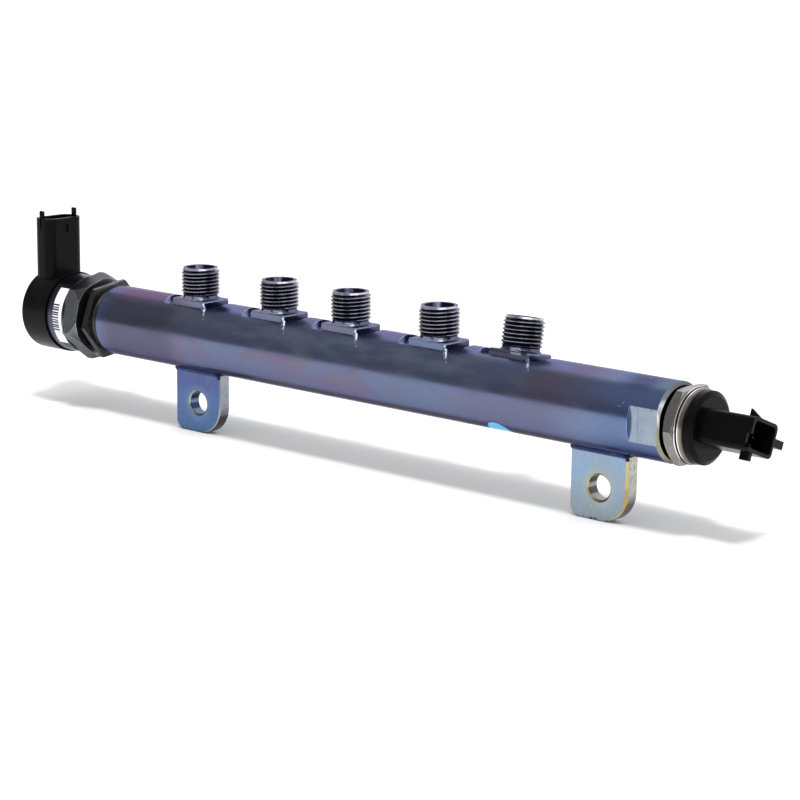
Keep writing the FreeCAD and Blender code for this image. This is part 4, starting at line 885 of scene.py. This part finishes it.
def wall_faces(shell):
    """The faces of all the stubs' turned walls, without the flat rings at their ends."""
    walls = []
    for x, tilt in STATIONS:
        inward = station(x, tilt).inverted()
        for face in shell.faces:
            local = [inward @ corner.co for corner in face.verts]
            heights = [point.z for point in local]
            if all(map(on_wall, local)) and max(heights) - min(heights) > WALL_LEAST_RISE * MM:
                walls.append(face)
    return walls


def rail_with_threads():
    """The rail's own surface, with a helical thread in place of each stub's plain wall."""
    mesh = nodes["rail_body"].data.copy()
    mesh.name = "rail_threaded"
    shell = bmesh.new()
    shell.from_mesh(mesh)
    bmesh.ops.delete(shell, geom=wall_faces(shell), context="FACES")
    shell.to_mesh(mesh)
    shell.free()
    skin = bpy.data.objects.new("rail_threaded", mesh)
    scene.collection.objects.link(skin)
    corners, crests, lips, faces = thread()
    finish = thread_steel().material
    for number, (x, tilt) in enumerate(STATIONS, start=1):
        coil = bpy.data.meshes.new("union_thread_%d" % number)
        coil.from_pydata(corners, [], faces)
        coil.attributes.new("crest", "FLOAT", "POINT").data.foreach_set("value", crests)
        coil.attributes.new("lip", "FLOAT", "POINT").data.foreach_set("value", lips)
        coil.shade_smooth()
        coil.set_sharp_from_angle(angle=math.radians(40))
        coil.transform(station(x, tilt))
        coil.materials.append(finish)
        item = bpy.data.objects.new("union_thread_%d" % number, coil)
        scene.collection.objects.link(item)
        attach(item, "root")
    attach(skin, "root")
    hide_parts("rail_body")


def shortening_spring():
    """A copy of the valve's spring with a mesh of its own, in place of the original; the real spring
    shortens as the armature slides onto it.
    """
    coil = bpy.data.objects.new("valve_coil_spring", nodes["valve_spring"].data.copy())
    scene.collection.objects.link(coil)
    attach(coil, "root")
    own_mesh(coil)
    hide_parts("valve_spring")


rail_with_threads()
shortening_spring()

# Floor, a hair below the brackets
FLOOR_GAP = 0.02
bpy.ops.mesh.primitive_plane_add(size=12.0, location=(0.0, 0.0, (BRACKET_LOW - FLOOR_GAP) * MM))
floor = bpy.context.object
floor.name = "floor"
cover = Paint("floor_white")
cover.set("Base Color", (0.92, 0.92, 0.92))
cover.set("Roughness", 0.9)
cover.bump(cover.noise(30.0), 0.01)
floor.data.materials.append(cover.material)


def studio():
    """White to the camera, evenly grey as light, and a bright wall with a lamp in reflections."""
    world = bpy.data.worlds.new("studio")
    scene.world = world
    world.use_nodes = True
    sky = Graph(world.node_tree)
    direction = sky.coordinates["Generated"]
    split = sky.split(direction)
    wall = sky.ramp(split[1], 0.10, 0.34)
    room = sky.ramp(split[2], 0.0, 1.0, 0.30, 0.45)
    mirrored = sky.blend(wall, room, (1.15, 1.12, 1.18))
    lamp = sky.dot(direction, Vector((0.50, -0.18, 0.85)).normalized())
    mirrored = sky.blend(sky.ramp(lamp, 0.88, 0.96), mirrored, (2.2, 2.2, 2.4))
    rays = sky.node("LightPath").outputs
    lit = sky.blend(rays["Is Glossy Ray"], (0.80, 0.80, 0.80), mirrored)
    seen = sky.blend(rays["Is Camera Ray"], lit, (1.0, 1.0, 1.0))
    background = sky.tree.nodes["Background"]
    sky.put(background.inputs["Color"], seen)
    sky.put(background.inputs["Strength"], 1.0)


def window_light(name, toward, spread, strength):
    """Distant soft light that lights the floor and casts a shadow, and shows in no reflection."""
    data = bpy.data.lights.new(name, "SUN")
    data.energy = strength
    data.angle = math.radians(spread)
    lamp = bpy.data.objects.new(name, data)
    scene.collection.objects.link(lamp)
    lamp.rotation_euler = Vector(toward).to_track_quat("Z", "Y").to_euler()
    lamp.visible_glossy = False


def photo_camera(place, rightward, upward, focal_length):
    """The camera of the main view, from the directions to its right and over its top."""
    right = Vector(rightward).normalized()
    back = right.cross(Vector(upward)).normalized()
    up = back.cross(right).normalized()
    lens = bpy.data.cameras.new("camera")
    lens.lens = focal_length
    lens.sensor_width = 36.0
    lens.clip_start = 0.05
    lens.clip_end = 30.0
    camera = bpy.data.objects.new("camera", lens)
    scene.collection.objects.link(camera)
    camera.matrix_world = Matrix.Translation(place) @ Matrix((right, up, back)).transposed().to_4x4()
    scene.camera = camera


studio()
window_light("high_light", (0.06, -0.22, 1.0), 14.0, 0.38)
window_light("front_light", (0.32, -0.35, 1.0), 9.0, 1.85)
photo_camera((0.60673, -0.69147, 0.2137), (0.7529, 0.658, 0.0119), (-0.1466, 0.15, 0.9778), 107.54)
scene.view_settings.view_transform = "Standard"
